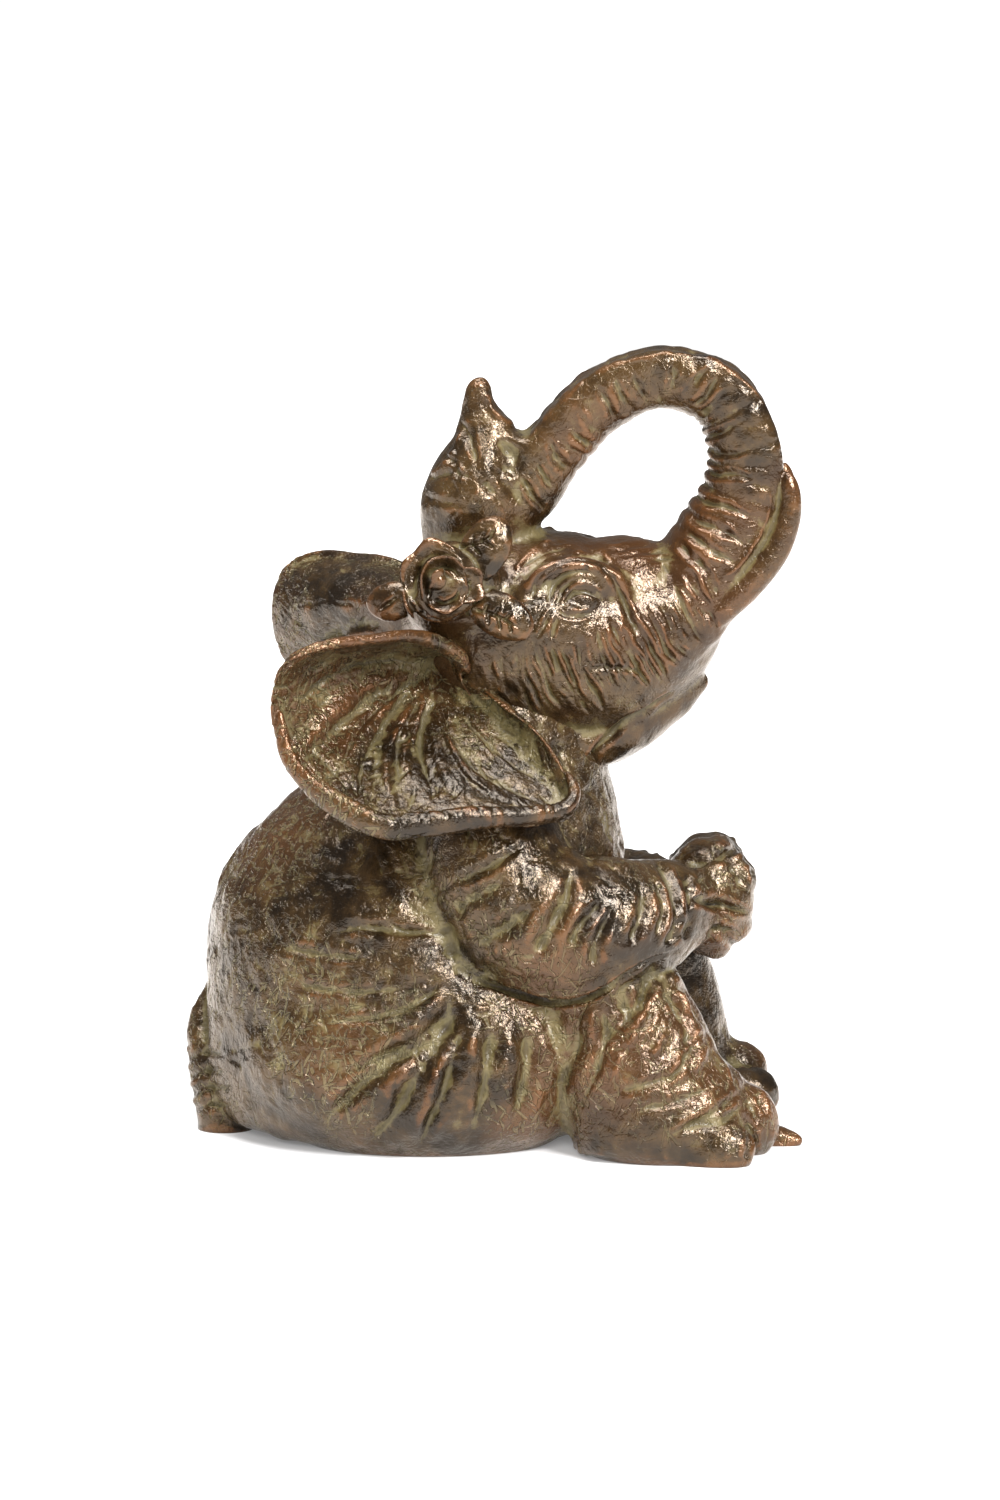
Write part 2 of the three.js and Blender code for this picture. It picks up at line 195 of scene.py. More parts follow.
def weld(thing, voxel, passes):
    skin = thing.modifiers.new("skin", "REMESH")
    skin.mode = "VOXEL"
    skin.voxel_size = voxel
    soft = thing.modifiers.new("soft", "SMOOTH")
    soft.factor = 0.5
    soft.iterations = passes
    settle(thing)


def blended(softForms, voxel, passes):
    clay = gather("clay", softForms)
    weld(clay, voxel, passes)
    mesh = clay.data
    bpy.data.objects.remove(clay)
    return mesh


def spotsOf(mesh):
    flat = np.empty(len(mesh.vertices) * 3)
    mesh.vertices.foreach_get("co", flat)
    return flat.reshape(-1, 3)


def putSpots(mesh, spots):
    mesh.vertices.foreach_set("co", spots.ravel())
    mesh.update()


def normalsOf(mesh):
    flat = np.empty(len(mesh.vertices) * 3)
    mesh.vertex_normals.foreach_get("vector", flat)
    return flat.reshape(-1, 3)


def leant(spots):
    turn = math.radians(stand["lean"])
    height = spots[:, 2] - stand["neckHeight"]
    y = spots[:, 1] * math.cos(turn) - height * math.sin(turn)
    z = spots[:, 1] * math.sin(turn) + height * math.cos(turn) + stand["neckHeight"]
    return np.stack([spots[:, 0], y, z], axis=1)


def lifted(spots):
    return spots + [0, 0, stand["lift"]]


# Where a point of the figure shows in the photograph, in its pixels.
def inPhoto(spots):
    tilt = math.radians(lens["tilt"])
    height = spots[:, 2] - lens["height"]
    depth = lens["reach"] + spots[:, 1] * math.cos(tilt) - height * math.sin(tilt)
    rise = spots[:, 1] * math.sin(tilt) + height * math.cos(tilt)
    across, down = lens["middle"]
    aside = lens["focal"] * spots[:, 0] / depth
    return np.stack([across + aside, down - lens["focal"] * rise / depth], axis=1)


def smoothStep(low, high, value):
    t = np.clip((value - low) / (high - low), 0, 1)
    return t * t * (3 - 2 * t)


grain = {"seed": 11, "cells": 32}
lattice = np.random.default_rng(grain["seed"]).random((grain["cells"],) * 3) * 2 - 1


# Soft random lumps from -1 to 1, of one size in mm.
def lumps(spots, size):
    grid = spots / size
    cell = np.floor(grid).astype(int)
    w = grid - cell
    w = w * w * (3 - 2 * w)
    total = np.zeros(len(spots))
    for corner in range(8):
        step = np.array([corner & 1, corner >> 1 & 1, corner >> 2 & 1])
        share = np.prod(np.where(step == 1, w, 1 - w), axis=1)
        at = (cell + step) % grain["cells"]
        total += share * lattice[at[:, 0], at[:, 1], at[:, 2]]
    return total


def lumpy(spots, layers):  # each layer has a height, a size and the shift at which the lumps are read
    return sum(height * lumps(spots + shift, size) for height, size, shift in layers)


def strays(spots, size, shifts):
    return np.stack([lumps(spots + shift, size) for shift in shifts], 1)


tool = {
    "reach": 3.4, "lip": 0.16, "highestLip": 0.35, "sharp": 1.2, "waver": 0.2,
    "begins": (-0.05, 0.12), "ends": (-0.05, 0.35), "thinEnd": 0.4, "thinning": (-0.1, 0.5),
}


# A tool stroke in photograph pixels: depth in mm, width in pixels, then the points it runs through.
def strokeHeight(spots, depth, width, points, lip=tool["lip"], sharp=tool["sharp"]):
    line = lineThrough([list(p) + [0] for p in points])
    path = line(np.linspace(0, 1, 4 * len(points) + 1))[:, :2]
    height = np.zeros(len(spots))
    reach = width * tool["reach"]
    near = np.all((spots > path.min(0) - reach) & (spots < path.max(0) + reach), axis=1)
    index = np.where(near)[0]
    if len(index) == 0:
        return height
    here = spots[index][:, None, :]
    start = path[:-1][None]
    run = np.diff(path, axis=0)[None]
    square = np.maximum(np.sum(run ** 2, axis=2), tiny)
    t = np.clip(np.sum((here - start) * run, axis=2) / square, 0, 1)
    gap = np.linalg.norm(here - start - run * t[:, :, None], axis=2)
    best = np.argmin(gap, axis=1)
    rows = np.arange(len(index))
    away = gap[rows, best]
    share = (best + t[rows, best]) / run.shape[1]
    taper = smoothStep(*tool["begins"], share) * smoothStep(*tool["ends"], 1 - share)
    taper *= 1 - tool["waver"] + tool["waver"] * np.sin(share * 17 + depth * 40)
    least = tool["thinEnd"]
    breadth = width * (least + (1 - least) * smoothStep(*tool["thinning"], 1 - share))
    power = sharp if depth > 0 else 2  # grooves are sharp, ridges are round
    groove = -np.exp(-(away / breadth) ** power)
    banks = lip * np.exp(-((away - 2 * breadth) / breadth) ** 2)
    height[index] = depth * (groove + banks) * taper
    return height


def carve(photoSpots, strokes, lip=tool["lip"], sharp=tool["sharp"]):
    height = np.zeros(len(photoSpots))
    for depth, width, *points in strokes:
        bank = min(lip, tool["highestLip"] / depth) if depth > 0 else 0
        height += strokeHeight(photoSpots, depth, width, points, bank, sharp)
    return height


def nearTree(spots):
    tree = KDTree(len(spots))
    for i, spot in enumerate(spots):
        tree.insert(spot, i)
    tree.balance()
    return tree


# Short crossing tool marks, scattered over the skin, at angles to the level or to a way of its own.
def scratch(spots, normals, marks, where, towards=None):
    height = np.zeros(len(spots))
    tree = nearTree(spots)
    bowing = 0.05
    rolls = np.random.default_rng(marks["seed"])
    for i in rolls.choice(len(spots), marks["count"], p=where / where.sum()):
        centre, up = spots[i], normals[i]
        length = rolls.uniform(*marks["length"])
        width = rolls.uniform(*marks["width"])
        depth = rolls.uniform(*marks["depth"])
        turn = math.radians(rolls.choice(marks["ways"]) + rolls.normal(0, marks["stray"]))
        level = np.cross(up, [0, 0, 1] if towards is None else towards[i])
        level /= max(np.linalg.norm(level), tiny)
        upright = np.cross(level, up)
        way = level * math.cos(turn) + upright * math.sin(turn)
        aside = np.cross(up, way)
        found = tree.find_range(centre, length * 0.5 + width * 2)
        index = np.array([f[1] for f in found])
        offset = spots[index] - centre
        along = offset @ way / (length * 0.5)
        bow = rolls.normal(0, bowing) * length * along ** 2
        away = (offset @ aside - bow) / width
        taper = np.clip(1 - np.abs(along) ** 3, 0, 1)
        height[index] -= depth * taper * np.exp(-away ** 2)
    return height


def shapeNote(stage, thing):
    print(stage, len(thing.data.vertices), "points", len(thing.data.polygons), "faces")


# Body: a seated torso with the haunches spread, and the forelegs raised.
bodyClay = {"blend": (0.8, 6), "weld": (0.31, 3), "most": 196000}  # voxel in mm, smoothing passes, triangles
torso = {
    "spine": [(-14, 0, -3.4), (-14.2, 0, 2), (-14.2, 0, 8), (-14, 0, 17), (-13.9, 0, 28), (-12.8, 0, 36),
              (-10.4, 0, 44), (-7.4, 0, 51), (-3, 0, 58), (0, 0, 66), (2, 0, 76)],
    "girth": [(23.5, 25.5), (28.6, 30), (30.6, 31.7), (31, 32), (29.8, 32), (27.6, 31.9),
              (24.8, 29.6), (22, 25.4), (18.5, 19.4), (15.5, 14.4), (12, 11)],
    "rounding": 0.06, "level": True, "mesh": (96, 96),
}
belly = {"centre": (7, 0, 24), "radii": (13.5, 21.5, 17)}
haunch = {"centre": (-11, -14, 12), "radii": (29.5, 19.8, 21), "underReach": 17, "mesh": (96, 96)}
shank = {
    "spine": [(15.6, -16.6, 31), (19.4, -20, 24.5), (22.4, -21.8, 16), (24.2, -22.4, 8), (24.9, -22.6, 2),
              (25, -22.6, -6)],
    "girth": [(6, 8), (9.5, 11), (11.2, 12), (12.4, 12.9), (13, 15), (13, 15)],
    "rounding": 0.3, "mesh": (64, 64),
    "forward": {right: (-1.5, -4, -3.4, -2, 0, 0), left: (0.5, 1.2, 1, 0.6, 0, 0)},
}
foreleg = {
    "spine": [(-3, -13, 56), (-1.5, -21, 47), (2.5, -25, 37.5), (10, -25.2, 33.6), (18, -22.5, 34),
              (24.5, -17.8, 35.1), (29, -12.6, 35.8), (32.4, -9, 36)],
    "girth": [(8, 8), (10, 10.4), (10, 11.4), (9.6, 10.8), (9, 10), (7.6, 7.8), (6.4, 6.4), (5, 5)],
    "rounding": 0.08, "mesh": (64, 96), "drop": {right: 0, left: 4},
}
forearm = {  # stands a little proud, so that a sharp crease is left under it
    "spine": [(0.5, -24.2, 40), (3, -25.1, 37.3), (10, -25.4, 33.4), (18, -22.8, 33.8), (24.5, -18, 35),
              (29, -12.8, 35.8)],
    "girth": [(8, 9), (10.1, 11.5), (10, 11.3), (9.4, 10.4), (7.9, 8.1), (6.4, 6.6)],
    "rounding": 0.16, "mesh": (64, 96),
}
forefoot = {
    "centre": {right: (32, -8.6, 36), left: (32.9, -8.6, 34.4)}, "radii": (7.2, 8.8, 9.2),
    "nailAngles": (72, 20, -36, -78), "nailReach": (4.5, 6.4), "nailRadii": (2.9, 5.4, 3.5),
}
hindToes = {  # centre and radii of each toe
    "heading": -24,
    right: [(29.6, -29.6, 1.2, 9.4, 4.6, 5.8), (36.6, -22, 3.4, 6.2, 5.4, 6.4),
            (39.6, -15, -0.4, 7.8, 3, 2.6)],
    left: [(33.6, -28, 1.6, 5.8, 4.6, 4.8), (38, -21, 2.8, 5.8, 5, 5.4), (40, -13.4, 0.8, 5.6, 4, 4.6)],
}
tail = {
    "spine": [(-39, 4, 25), (-44, 3.2, 20), (-46.6, 1, 14), (-45, -2, 8), (-43.2, -4, 2), (-43, -5, -6)],
    "girth": [(2.2, 2.2), (2.4, 2.4), (2.9, 3), (3.8, 4), (4.2, 4.4), (4, 4.2)],
    "rounding": 0.1,
}


def haunchBall(side):
    whole = ball(haunch["centre"], haunch["radii"], side)
    squash = haunch["underReach"] / haunch["radii"][2]
    level = haunch["centre"][2]

    def place(share, angle):
        spots = whole(share, angle)
        drop = spots[:, 2] - level
        spots[:, 2] = level + np.where(drop < 0, drop * squash, drop)
        return spots

    return place


def moved(form, forward, drop):
    changed = dict(form)
    changed["spine"] = [(x + shift, y, z - drop) for (x, y, z), shift in zip(form["spine"], forward)]
    return changed


def makeBody():
    soft = [castLoft(torso), castBall(belly)]
    forms = []
    for side in (right, left):
        drop = foreleg["drop"][side]
        soft.append(cast(haunchBall(side), *haunch["mesh"]))
        soft.append(castLoft(moved(shank, shank["forward"][side], 0), side))
        soft.append(castLoft(moved(foreleg, [0] * len(foreleg["spine"]), drop), side))
        for toe in hindToes[side]:
            soft.append(cast(ball(toe[:3], toe[3:], side, heading=hindToes["heading"])))
        forms.append(castLoft(moved(forearm, [0] * len(forearm["spine"]), drop), side))
        x, y, z = forefoot["centre"][side]
        forms.append(cast(ball((x, y, z), forefoot["radii"], side)))
        reach, rise = forefoot["nailReach"]
        for angle in forefoot["nailAngles"]:
            turn = math.radians(angle)
            nail = (x + reach * math.cos(turn), y, z + rise * math.sin(turn))
            forms.append(cast(ball(nail, forefoot["nailRadii"], side, tilt=90 - angle)))
    forms.append(castLoft(tail))
    body = gather("body", [blended(soft, *bodyClay["blend"])] + forms)
    weld(body, *bodyClay["weld"])
    return body


body = makeBody()
shapeNote("body welded", body)


# Head: skull, jaw and curled trunk, symmetrical until the whole is leant over.
headClay = {"blend": (0.6, 9), "weld": (0.3, 2), "most": 196000}
skull = {
    "spine": [(-15.5, 0, 75.5), (-5, 0, 76.5), (5, 0, 76.3), (14.5, 0, 75.8), (22.6, 0, 78.4), (29, 0, 83),
              (33, 0, 89)],
    "girth": [(14, 13), (16.4, 15), (17.4, 16.2), (15.6, 15.9), (12.6, 13), (9.8, 9.4), (7.4, 7)],
    "rounding": 0.26, "mesh": (64, 80),
}
forehead = {"centre": (18, 0, 83), "radii": (12, 10.5, 8.8)}
temple = {"centre": (-6.5, -9.5, 84), "radii": (8.5, 8, 7.5)}
jaw = {
    "spine": [(0, 0, 68), (9, 0, 61.8), (17, 0, 61.2), (25, 0, 65.3), (30, 0, 68), (33, 0, 69.2)],
    "girth": [(10, 8), (11.5, 6.4), (9.5, 5.2), (6.6, 3.8), (4.4, 2.8), (3, 1.8)],
    "rounding": 0.2,
}
trunk = {
    "spine": [(23, 0, 77.8), (29.8, 0, 83.6), (33.9, 0, 90.4), (37.2, 0, 97.6), (37.9, 0, 105.1),
              (34, 0, 113.6), (24.4, 0, 116.5), (15.4, 0, 112.9), (8.3, 0, 105.7), (3.8, 0, 99.2),
              (-1.4, 0, 95.6), (-6, 0, 95)],
    "girth": [(10.6, 10), (9.2, 8.6), (8, 7.6), (6.9, 6.7), (6.2, 6.1), (5.6, 5.4), (5.2, 5.1), (5, 5.3),
              (5.2, 5.4), (5.8, 5.6), (6.4, 5.6), (5.4, 4)],
    "rounding": 0.02, "squareness": 3.2, "hollow": 0.22, "mesh": (64, 220),
}
trunkTip = {
    "spine": [(-3, 0, 86), (-3, 0, 92), (-3.6, 0, 97), (-3.3, 0, 101), (-2.6, 0, 104.6), (-2.2, 0, 107.6),
              (-3.1, 0, 110.6), (-3.4, 0, 113.4), (-3, 0, 116.8)],
    "girth": [(6.4, 9), (6.4, 9.2), (8.9, 8.8), (8.2, 7.8), (6.6, 6.4), (4.8, 4.8), (2.9, 3.2), (2.2, 2.4),
              (1.6, 1.8)],
    "rounding": 0.06, "level": True, "mesh": (48, 80),
}
tusk = {
    "spine": [(29.8, -6.6, 78.4), (34.8, -6.8, 82.2), (39.4, -6.4, 86.6), (42.8, -5.8, 91.4),
              (44.4, -5.2, 96.8), (44, -4.8, 102.6)],
    "girth": [(2.6, 2.6), (2.4, 2.4), (2.3, 2.3), (2.1, 2.1), (1.8, 1.8), (1.2, 1.2)],
    "rounding": 0.1, "mesh": (32, 64),
}
brow = {
    "spine": [(2.5, -14.4, 84.6), (6.5, -13.4, 88.4), (12.5, -11.8, 89.2), (17.6, -11, 86.8),
              (20, -11, 82.6)],
    "girth": [(0.7, 0.7), (1.2, 1.2), (1.4, 1.4), (1.1, 1.1), (0.7, 0.7)],
    "rounding": 0.2, "mesh": (24, 48),
}
upperLid = {"centre": (11, -10, 86), "radii": (8, 3.5, 4.2)}
eye = {"centre": (12.4, -12.6, 83.6), "radii": (2.6, 1.7, 1.7)}
trunkLip = {
    "spine": [(-2.6, 0, 113.6), (-1.2, 0, 110.4), (0.6, 0, 108), (3, 0, 106.4), (5.4, 0, 105),
              (7.4, 0, 103.6)],
    "girth": [(1.2, 1.2), (2.6, 1.5), (4.2, 1.6), (5, 1.5), (5, 1.5), (4.6, 1.6)],
    "rounding": 0.12, "mesh": (32, 48),
}


def makeHead():
    soft = [castLoft(skull), castBall(forehead), castBall(temple)]
    soft += [castLoft(form) for form in (jaw, trunk, trunkTip, trunkLip)]
    soft += [castLoft(brow, side) for side in (right, left)]
    soft += [castBall(upperLid, side) for side in (right, left)]
    forms = []
    for side in (right, left):
        forms += [castLoft(tusk, side), castBall(eye, side)]
    head = gather("head", [blended(soft, *headClay["blend"])] + forms)
    weld(head, *headClay["weld"])
    return head


head = makeHead()
shapeNote("head welded", head)


# Ear: a thick sheet from its root to its rim, swept into folds that run out from the root.
earClay = {"weld": (0.27, 2), "most": 196000}
ear = {
    "root": (-8.5, -9.5, 74.5),
    "rim": [(-7.3, -17, 76.4), (-14.9, -24.6, 81), (-25.1, -31.4, 81.3), (-31.7, -32.6, 78.9),
            (-33.8, -32, 72.5), (-32.9, -33.6, 65.1), (-29.5, -36, 59.9), (-24.2, -38, 56.4),
            (-17.3, -40, 53.4), (-10.3, -39, 53.6), (-2.9, -37.6, 54.2), (5.9, -35, 54), (10.9, -32, 54.9),
            (9.9, -28.4, 59.8), (7.2, -25.6, 64.3), (2.3, -22.2, 68.2), (-4.5, -18.6, 70.6)],
    "facing": (-0.08, -0.97, -0.22), "halfThickness": 1.5, "flare": 1.3, "fullness": 0.6, "foldLip": 0.25,
    "foldsFrom": (0.05, 0.4), "rollFrom": 0.05, "rollTo": 0.27, "rollInside": 0.6, "rollHeight": 2.2,
    "leftShift": (-3.4, 0, 2.3), "mesh": (200, 100),
    "rimRoll": {
        "spine": [(-4.6, -16.4, 73.2), (-7.3, -18.4, 77.2), (-12.5, -23.6, 80.4), (-19.2, -28.8, 81),
                  (-25.3, -32.4, 80.9), (-30.4, -33.6, 79), (-32.8, -33, 75.2)],
        "girth": [(1.1, 1.1), (1.4, 1.4), (1, 1.1), (0.8, 0.9), (0.7, 0.8), (0.7, 0.8), (0.5, 0.5)],
        "rounding": 0.1, "mesh": (32, 64),
    },
    "hem": {
        "spine": [(-32.6, -32.2, 71), (-31.6, -33.4, 65.6), (-28.4, -36, 61.2), (-23.6, -38, 57.8),
                  (-17, -39.8, 55.2), (-10.2, -39, 55.4), (-2.9, -37.6, 56), (5, -35, 55.8),
                  (9.8, -32.5, 56.3), (11, -30.6, 58.4), (9.8, -28.2, 61)],
        "girth": [(0.8, 0.8), (1.2, 1.4), (1.4, 1.7), (1.5, 1.9), (1.6, 2), (1.6, 2), (1.5, 1.8),
                  (1.3, 1.5), (1.2, 1.3), (1, 1), (0.6, 0.6)],
        "rounding": 0.06, "mesh": (32, 96),
    },
    "smooth": [  # lines along the edges, kept free of tool marks
        ((455, 665), (440, 645), (400, 636), (350, 640), (300, 658), (280, 680)),
        ((460, 676), (482, 690), (508, 706), (535, 735), (556, 770), (571, 802)),
        ((278, 700), (282, 745), (300, 785), (338, 812), (385, 832), (430, 830), (475, 824), (530, 818),
         (568, 808)),
    ],
    "folds": [  # height in mm towards the viewer, width and line in photograph pixels
        (1.25, 9, (422, 670), (378, 678), (353, 697), (332, 714), (317, 729), (302, 750), (295, 767)),
        (-1.33, 7, (405, 680), (369, 696), (350, 712), (332, 735), (313, 760)),
        (1.09, 12, (395, 692), (375, 716), (358, 740), (350, 765), (355, 790)),
        (-1.56, 7, (414, 685), (397, 710), (383, 735), (379, 760), (382, 790)),
        (1.33, 7, (424, 685), (410, 708), (396, 730), (388, 752), (388, 775), (396, 800), (408, 820)),
        (-0.94, 4, (421, 695), (408, 722), (400, 745), (398, 765)),
        (1.09, 6, (427, 690), (418, 720), (408, 740), (406, 757), (416, 775), (430, 785)),
        (-1.48, 8, (432, 705), (421, 735), (418, 755), (430, 775), (448, 792), (462, 803)),
        (0.78, 6, (436, 700), (435, 733), (445, 762), (462, 783), (479, 800)),
        (-0.94, 4, (440, 700), (446, 735), (455, 760), (472, 780), (500, 798)),
        (1.48, 6, (441, 684), (445, 708), (454, 741), (466, 762), (492, 783), (523, 800), (555, 811)),
        (-0.86, 5, (447, 690), (453, 715), (463, 745), (480, 765), (505, 785), (535, 800)),
        (1.25, 18, (475, 705), (505, 740), (535, 775), (556, 800)),
        (-1.17, 14, (410, 655), (360, 662), (315, 685), (290, 715)),
    ],
}


def asRight(spots):
    same = np.ones(len(spots))
    return spots * np.stack([same, -np.sign(spots[:, 1] + tiny), same], axis=1)


def earSheet():
    root = np.array(ear["root"])
    rim = lineThrough(ear["rim"], closed=True)
    facing = np.array(ear["facing"]) / np.linalg.norm(ear["facing"])

    def place(share, angle):
        around = (angle / (2 * np.pi)) % 1.0
        reach, face = np.sin(np.pi * share), np.cos(np.pi * share)
        edge = rim(around)
        flat = root + (edge - root) * reach[:, None]
        flat[:, 1] = root[1] + (edge[:, 1] - root[1]) * reach ** ear["flare"]
        shown = inPhoto(lifted(leant(flat)))
        bend = np.zeros(len(share))
        for height, width, *points in ear["folds"]:
            bend += strokeHeight(shown, -height, width, points, lip=ear["foldLip"])
        span = np.clip((around - ear["rollFrom"]) / (ear["rollTo"] - ear["rollFrom"]), 0, 1)
        inside = ear["rollInside"]
        outer = np.clip((reach - inside) / (1 - inside), 0, 1)
        bend += ear["rollHeight"] * np.sin(np.pi * span) * outer ** 2
        thick = ear["halfThickness"] * np.sign(face) * np.abs(face) ** ear["fullness"]
        return flat + facing * (bend * smoothStep(*ear["foldsFrom"], reach) + thick)[:, None]

    return place


def makeEars():
    forms = [cast(earSheet(), *ear["mesh"]), castLoft(ear["rimRoll"]), castLoft(ear["hem"])]
    for mesh in list(forms):
        other = mesh.copy()
        putSpots(other, onSide(spotsOf(other), left) + ear["leftShift"])
        other.flip_normals()
        forms.append(other)
    ears = gather("ears", forms)
    weld(ears, *earClay["weld"])
    return ears


ears = makeEars()
shapeNote("ears welded", ears)


# Rose and three leaves, chased above the right ear.
roseClay = {"weld": (0.16, 2), "most": 90000}
rose = {
    "centre": (-9, -18.6, 87.6), "facing": (-0.12, -0.95, 0.28), "radii": (5.9, 5.9, 3.0), "mesh": (64, 64),
    "bead": (1.45, 1.45, 1.45), "beadLift": 2.5, "beadMesh": (32, 32),
    "leaves": [  # centre, turn in degrees, radii
        ((-2.2, -16.4, 92.4), 62, (5.4, 3.7, 1.7)), ((0, -18.4, 82.8), -28, (5.6, 3.4, 1.7)),
        ((-16, -19.4, 85), 188, (4, 3, 1.7)),
    ],
    "leafMesh": (48, 48),
    "backing": {"centre": (-7.4, -14.6, 87), "radii": (7.5, 4.6, 6.2), "mesh": (48, 48)},
}


def discBall(centre, radii, facing, turn=0.0):
    out = np.array(facing) / np.linalg.norm(facing)
    level = np.cross([0, 0, 1], out)
    level /= np.linalg.norm(level)
    upright = np.cross(out, level)
    swing = math.radians(turn)
    along = level * math.cos(swing) + upright * math.sin(swing)
    aside = upright * math.cos(swing) - level * math.sin(swing)

    def place(share, angle):
        polar = np.pi * share
        a = np.sin(polar) * np.cos(angle) * radii[0]
        b = np.sin(polar) * np.sin(angle) * radii[1]
        c = -np.cos(polar) * radii[2]
        return np.array(centre) + a[:, None] * along + b[:, None] * aside + c[:, None] * out

    return place


def makeRose():
    out = np.array(rose["facing"]) / np.linalg.norm(rose["facing"])
    tip = np.array(rose["centre"]) + out * rose["beadLift"]
    forms = [cast(discBall(rose["centre"], rose["radii"], out), *rose["mesh"]),
             cast(discBall(tip, rose["bead"], out), *rose["beadMesh"])]
    for centre, turn, radii in rose["leaves"]:
        forms.append(cast(discBall(centre, radii, out, turn), *rose["leafMesh"]))
    forms.append(castBall(rose["backing"]))
    flower = gather("rose", forms)
    weld(flower, *roseClay["weld"])
    return flower


flower = makeRose()
shapeNote("rose welded", flower)


# Strokes read off the photograph: depth in mm, width in pixels, and the line in pixels.
bodyStrokes = [
    (0.8, 4, (435, 992), (409, 1007), (371, 1017), (328, 1022)),  # fan of folds from the hip
    (1.5, 8, (456, 998), (432, 1025), (404, 1046), (374, 1060), (338, 1076)),
    (1.9, 9, (461, 1006), (435, 1038), (402, 1058), (369, 1078), (343, 1104), (325, 1119)),
    (2, 11, (461, 1012), (438, 1048), (415, 1078), (402, 1106), (384, 1129), (366, 1147)),
    (1.6, 7, (463, 1030), (453, 1060), (443, 1094), (430, 1122), (417, 1152)),
    (1.5, 8, (491, 1030), (489, 1060), (483, 1096), (471, 1137)),
    (1.5, 8, (527, 1035), (529, 1058), (522, 1099), (511, 1127)),
    (0.7, 6, (578, 1018), (575, 1050), (562, 1080), (560, 1112)),
    (1.5, 3, (478, 980), (508, 991), (545, 1001), (580, 1000), (612, 985), (645, 963), (680, 950)),
    (1.5, 10, (629, 989), (623, 1010), (608, 1035), (603, 1052)),
    (0.9, 4, (669, 982), (687, 997), (700, 1022), (710, 1048)),
    (0.8, 4, (664, 992), (676, 1004), (682, 1020)),
    (0.8, 4, (687, 1035), (685, 1058), (667, 1084)),
    (0.7, 4, (654, 1002), (646, 1022), (629, 1035)),
    (0.9, 5, (645, 990), (642, 1006), (638, 1016)),
    (1.4, 8, (537, 956), (549, 930), (565, 902), (572, 865)),  # folds on the near forearm
    (1.1, 6, (570, 946), (578, 930), (593, 912), (603, 897)),
    (0.9, 5, (593, 969), (595, 946), (606, 923), (613, 905)),
    (0.9, 5, (629, 946), (639, 923), (644, 897), (639, 882)),
    (1.1, 4.5, (667, 946), (677, 923), (674, 892), (662, 867), (646, 854)),
    (0.9, 4, (682, 941), (690, 918), (686, 887), (675, 865)),
    (0.7, 3.5, (655, 938), (663, 915), (660, 890), (650, 872)),
    (1.3, 8, (475, 948), (514, 923), (534, 907)),
    (1.1, 7, (452, 912), (476, 896), (503, 882)),
    (0.9, 5, (458, 882), (488, 867), (526, 844)),
    (1, 5, (343, 926), (392, 930), (443, 935)),  # ledges across the flank
    (0.7, 4, (282, 948), (330, 955), (374, 960)),
    (0.6, 4, (300, 985), (350, 992), (410, 988)),
    (0.8, 10, (440, 925), (452, 955), (470, 984)),
    (1.9, 4.5, (694, 897), (712, 903), (732, 908), (752, 914)),  # forefoot
    (1.2, 5, (684, 866), (706, 860), (728, 852), (742, 846)),
    (1, 4, (726, 858), (738, 874), (742, 896)),
    (1, 4, (706, 936), (722, 930), (742, 934)),
    (-0.8, 4, (736, 852), (744, 870), (750, 888)),
    (0.8, 4, (716, 926), (728, 938), (738, 952)),
    (0.9, 4, (687, 874), (692, 890), (692, 906)),
    (0.8, 4, (699, 878), (703, 890), (703, 902)),
    (-0.8, 4, (670, 972), (687, 1008), (706, 1034), (725, 1065), (735, 1093)),  # shin and hind foot
    (0.7, 4, (660, 975), (677, 1010), (692, 1045), (690, 1075)),
    (1, 6, (656, 962), (637, 1007), (612, 1036)),
    (0.9, 5, (604, 1005), (600, 1060), (582, 1103)),
    (-0.6, 3.4, (664, 1034), (657, 1048), (649, 1058)),
    (-0.6, 3.4, (684, 1050), (677, 1066), (668, 1080)),
    (-0.6, 3, (696, 1030), (690, 1044), (684, 1054)),
    (-0.5, 3, (640, 1020), (634, 1036), (626, 1050)),
    (-0.5, 3, (622, 1052), (616, 1070), (608, 1086)),
    (-0.6, 3.4, (706, 1046), (700, 1062), (692, 1074)),
    (0.7, 4, (670, 1137), (700, 1121), (727, 1103), (748, 1087)),
    (0.5, 4, (620, 1092), (660, 1080), (694, 1066)),
    (0.6, 4, (640, 1110), (680, 1100), (715, 1085)),
    (0.7, 5, (690, 1128), (720, 1120), (745, 1105)),
    (0.8, 4, (748, 1160), (752, 1140), (748, 1118)),
    (0.5, 3, (757, 1092), (762, 1104), (768, 1116)),
    (0.5, 3, (748, 1098), (754, 1110), (758, 1124)),
    (0.6, 4, (184, 1060), (204, 1052), (226, 1056)),  # ribs of the tail's tuft
    (0.6, 4, (186, 1078), (206, 1070), (228, 1073)),
    (0.6, 4, (190, 1095), (208, 1087), (229, 1090)),
    (0.6, 4, (194, 1111), (211, 1104), (230, 1107)),
]
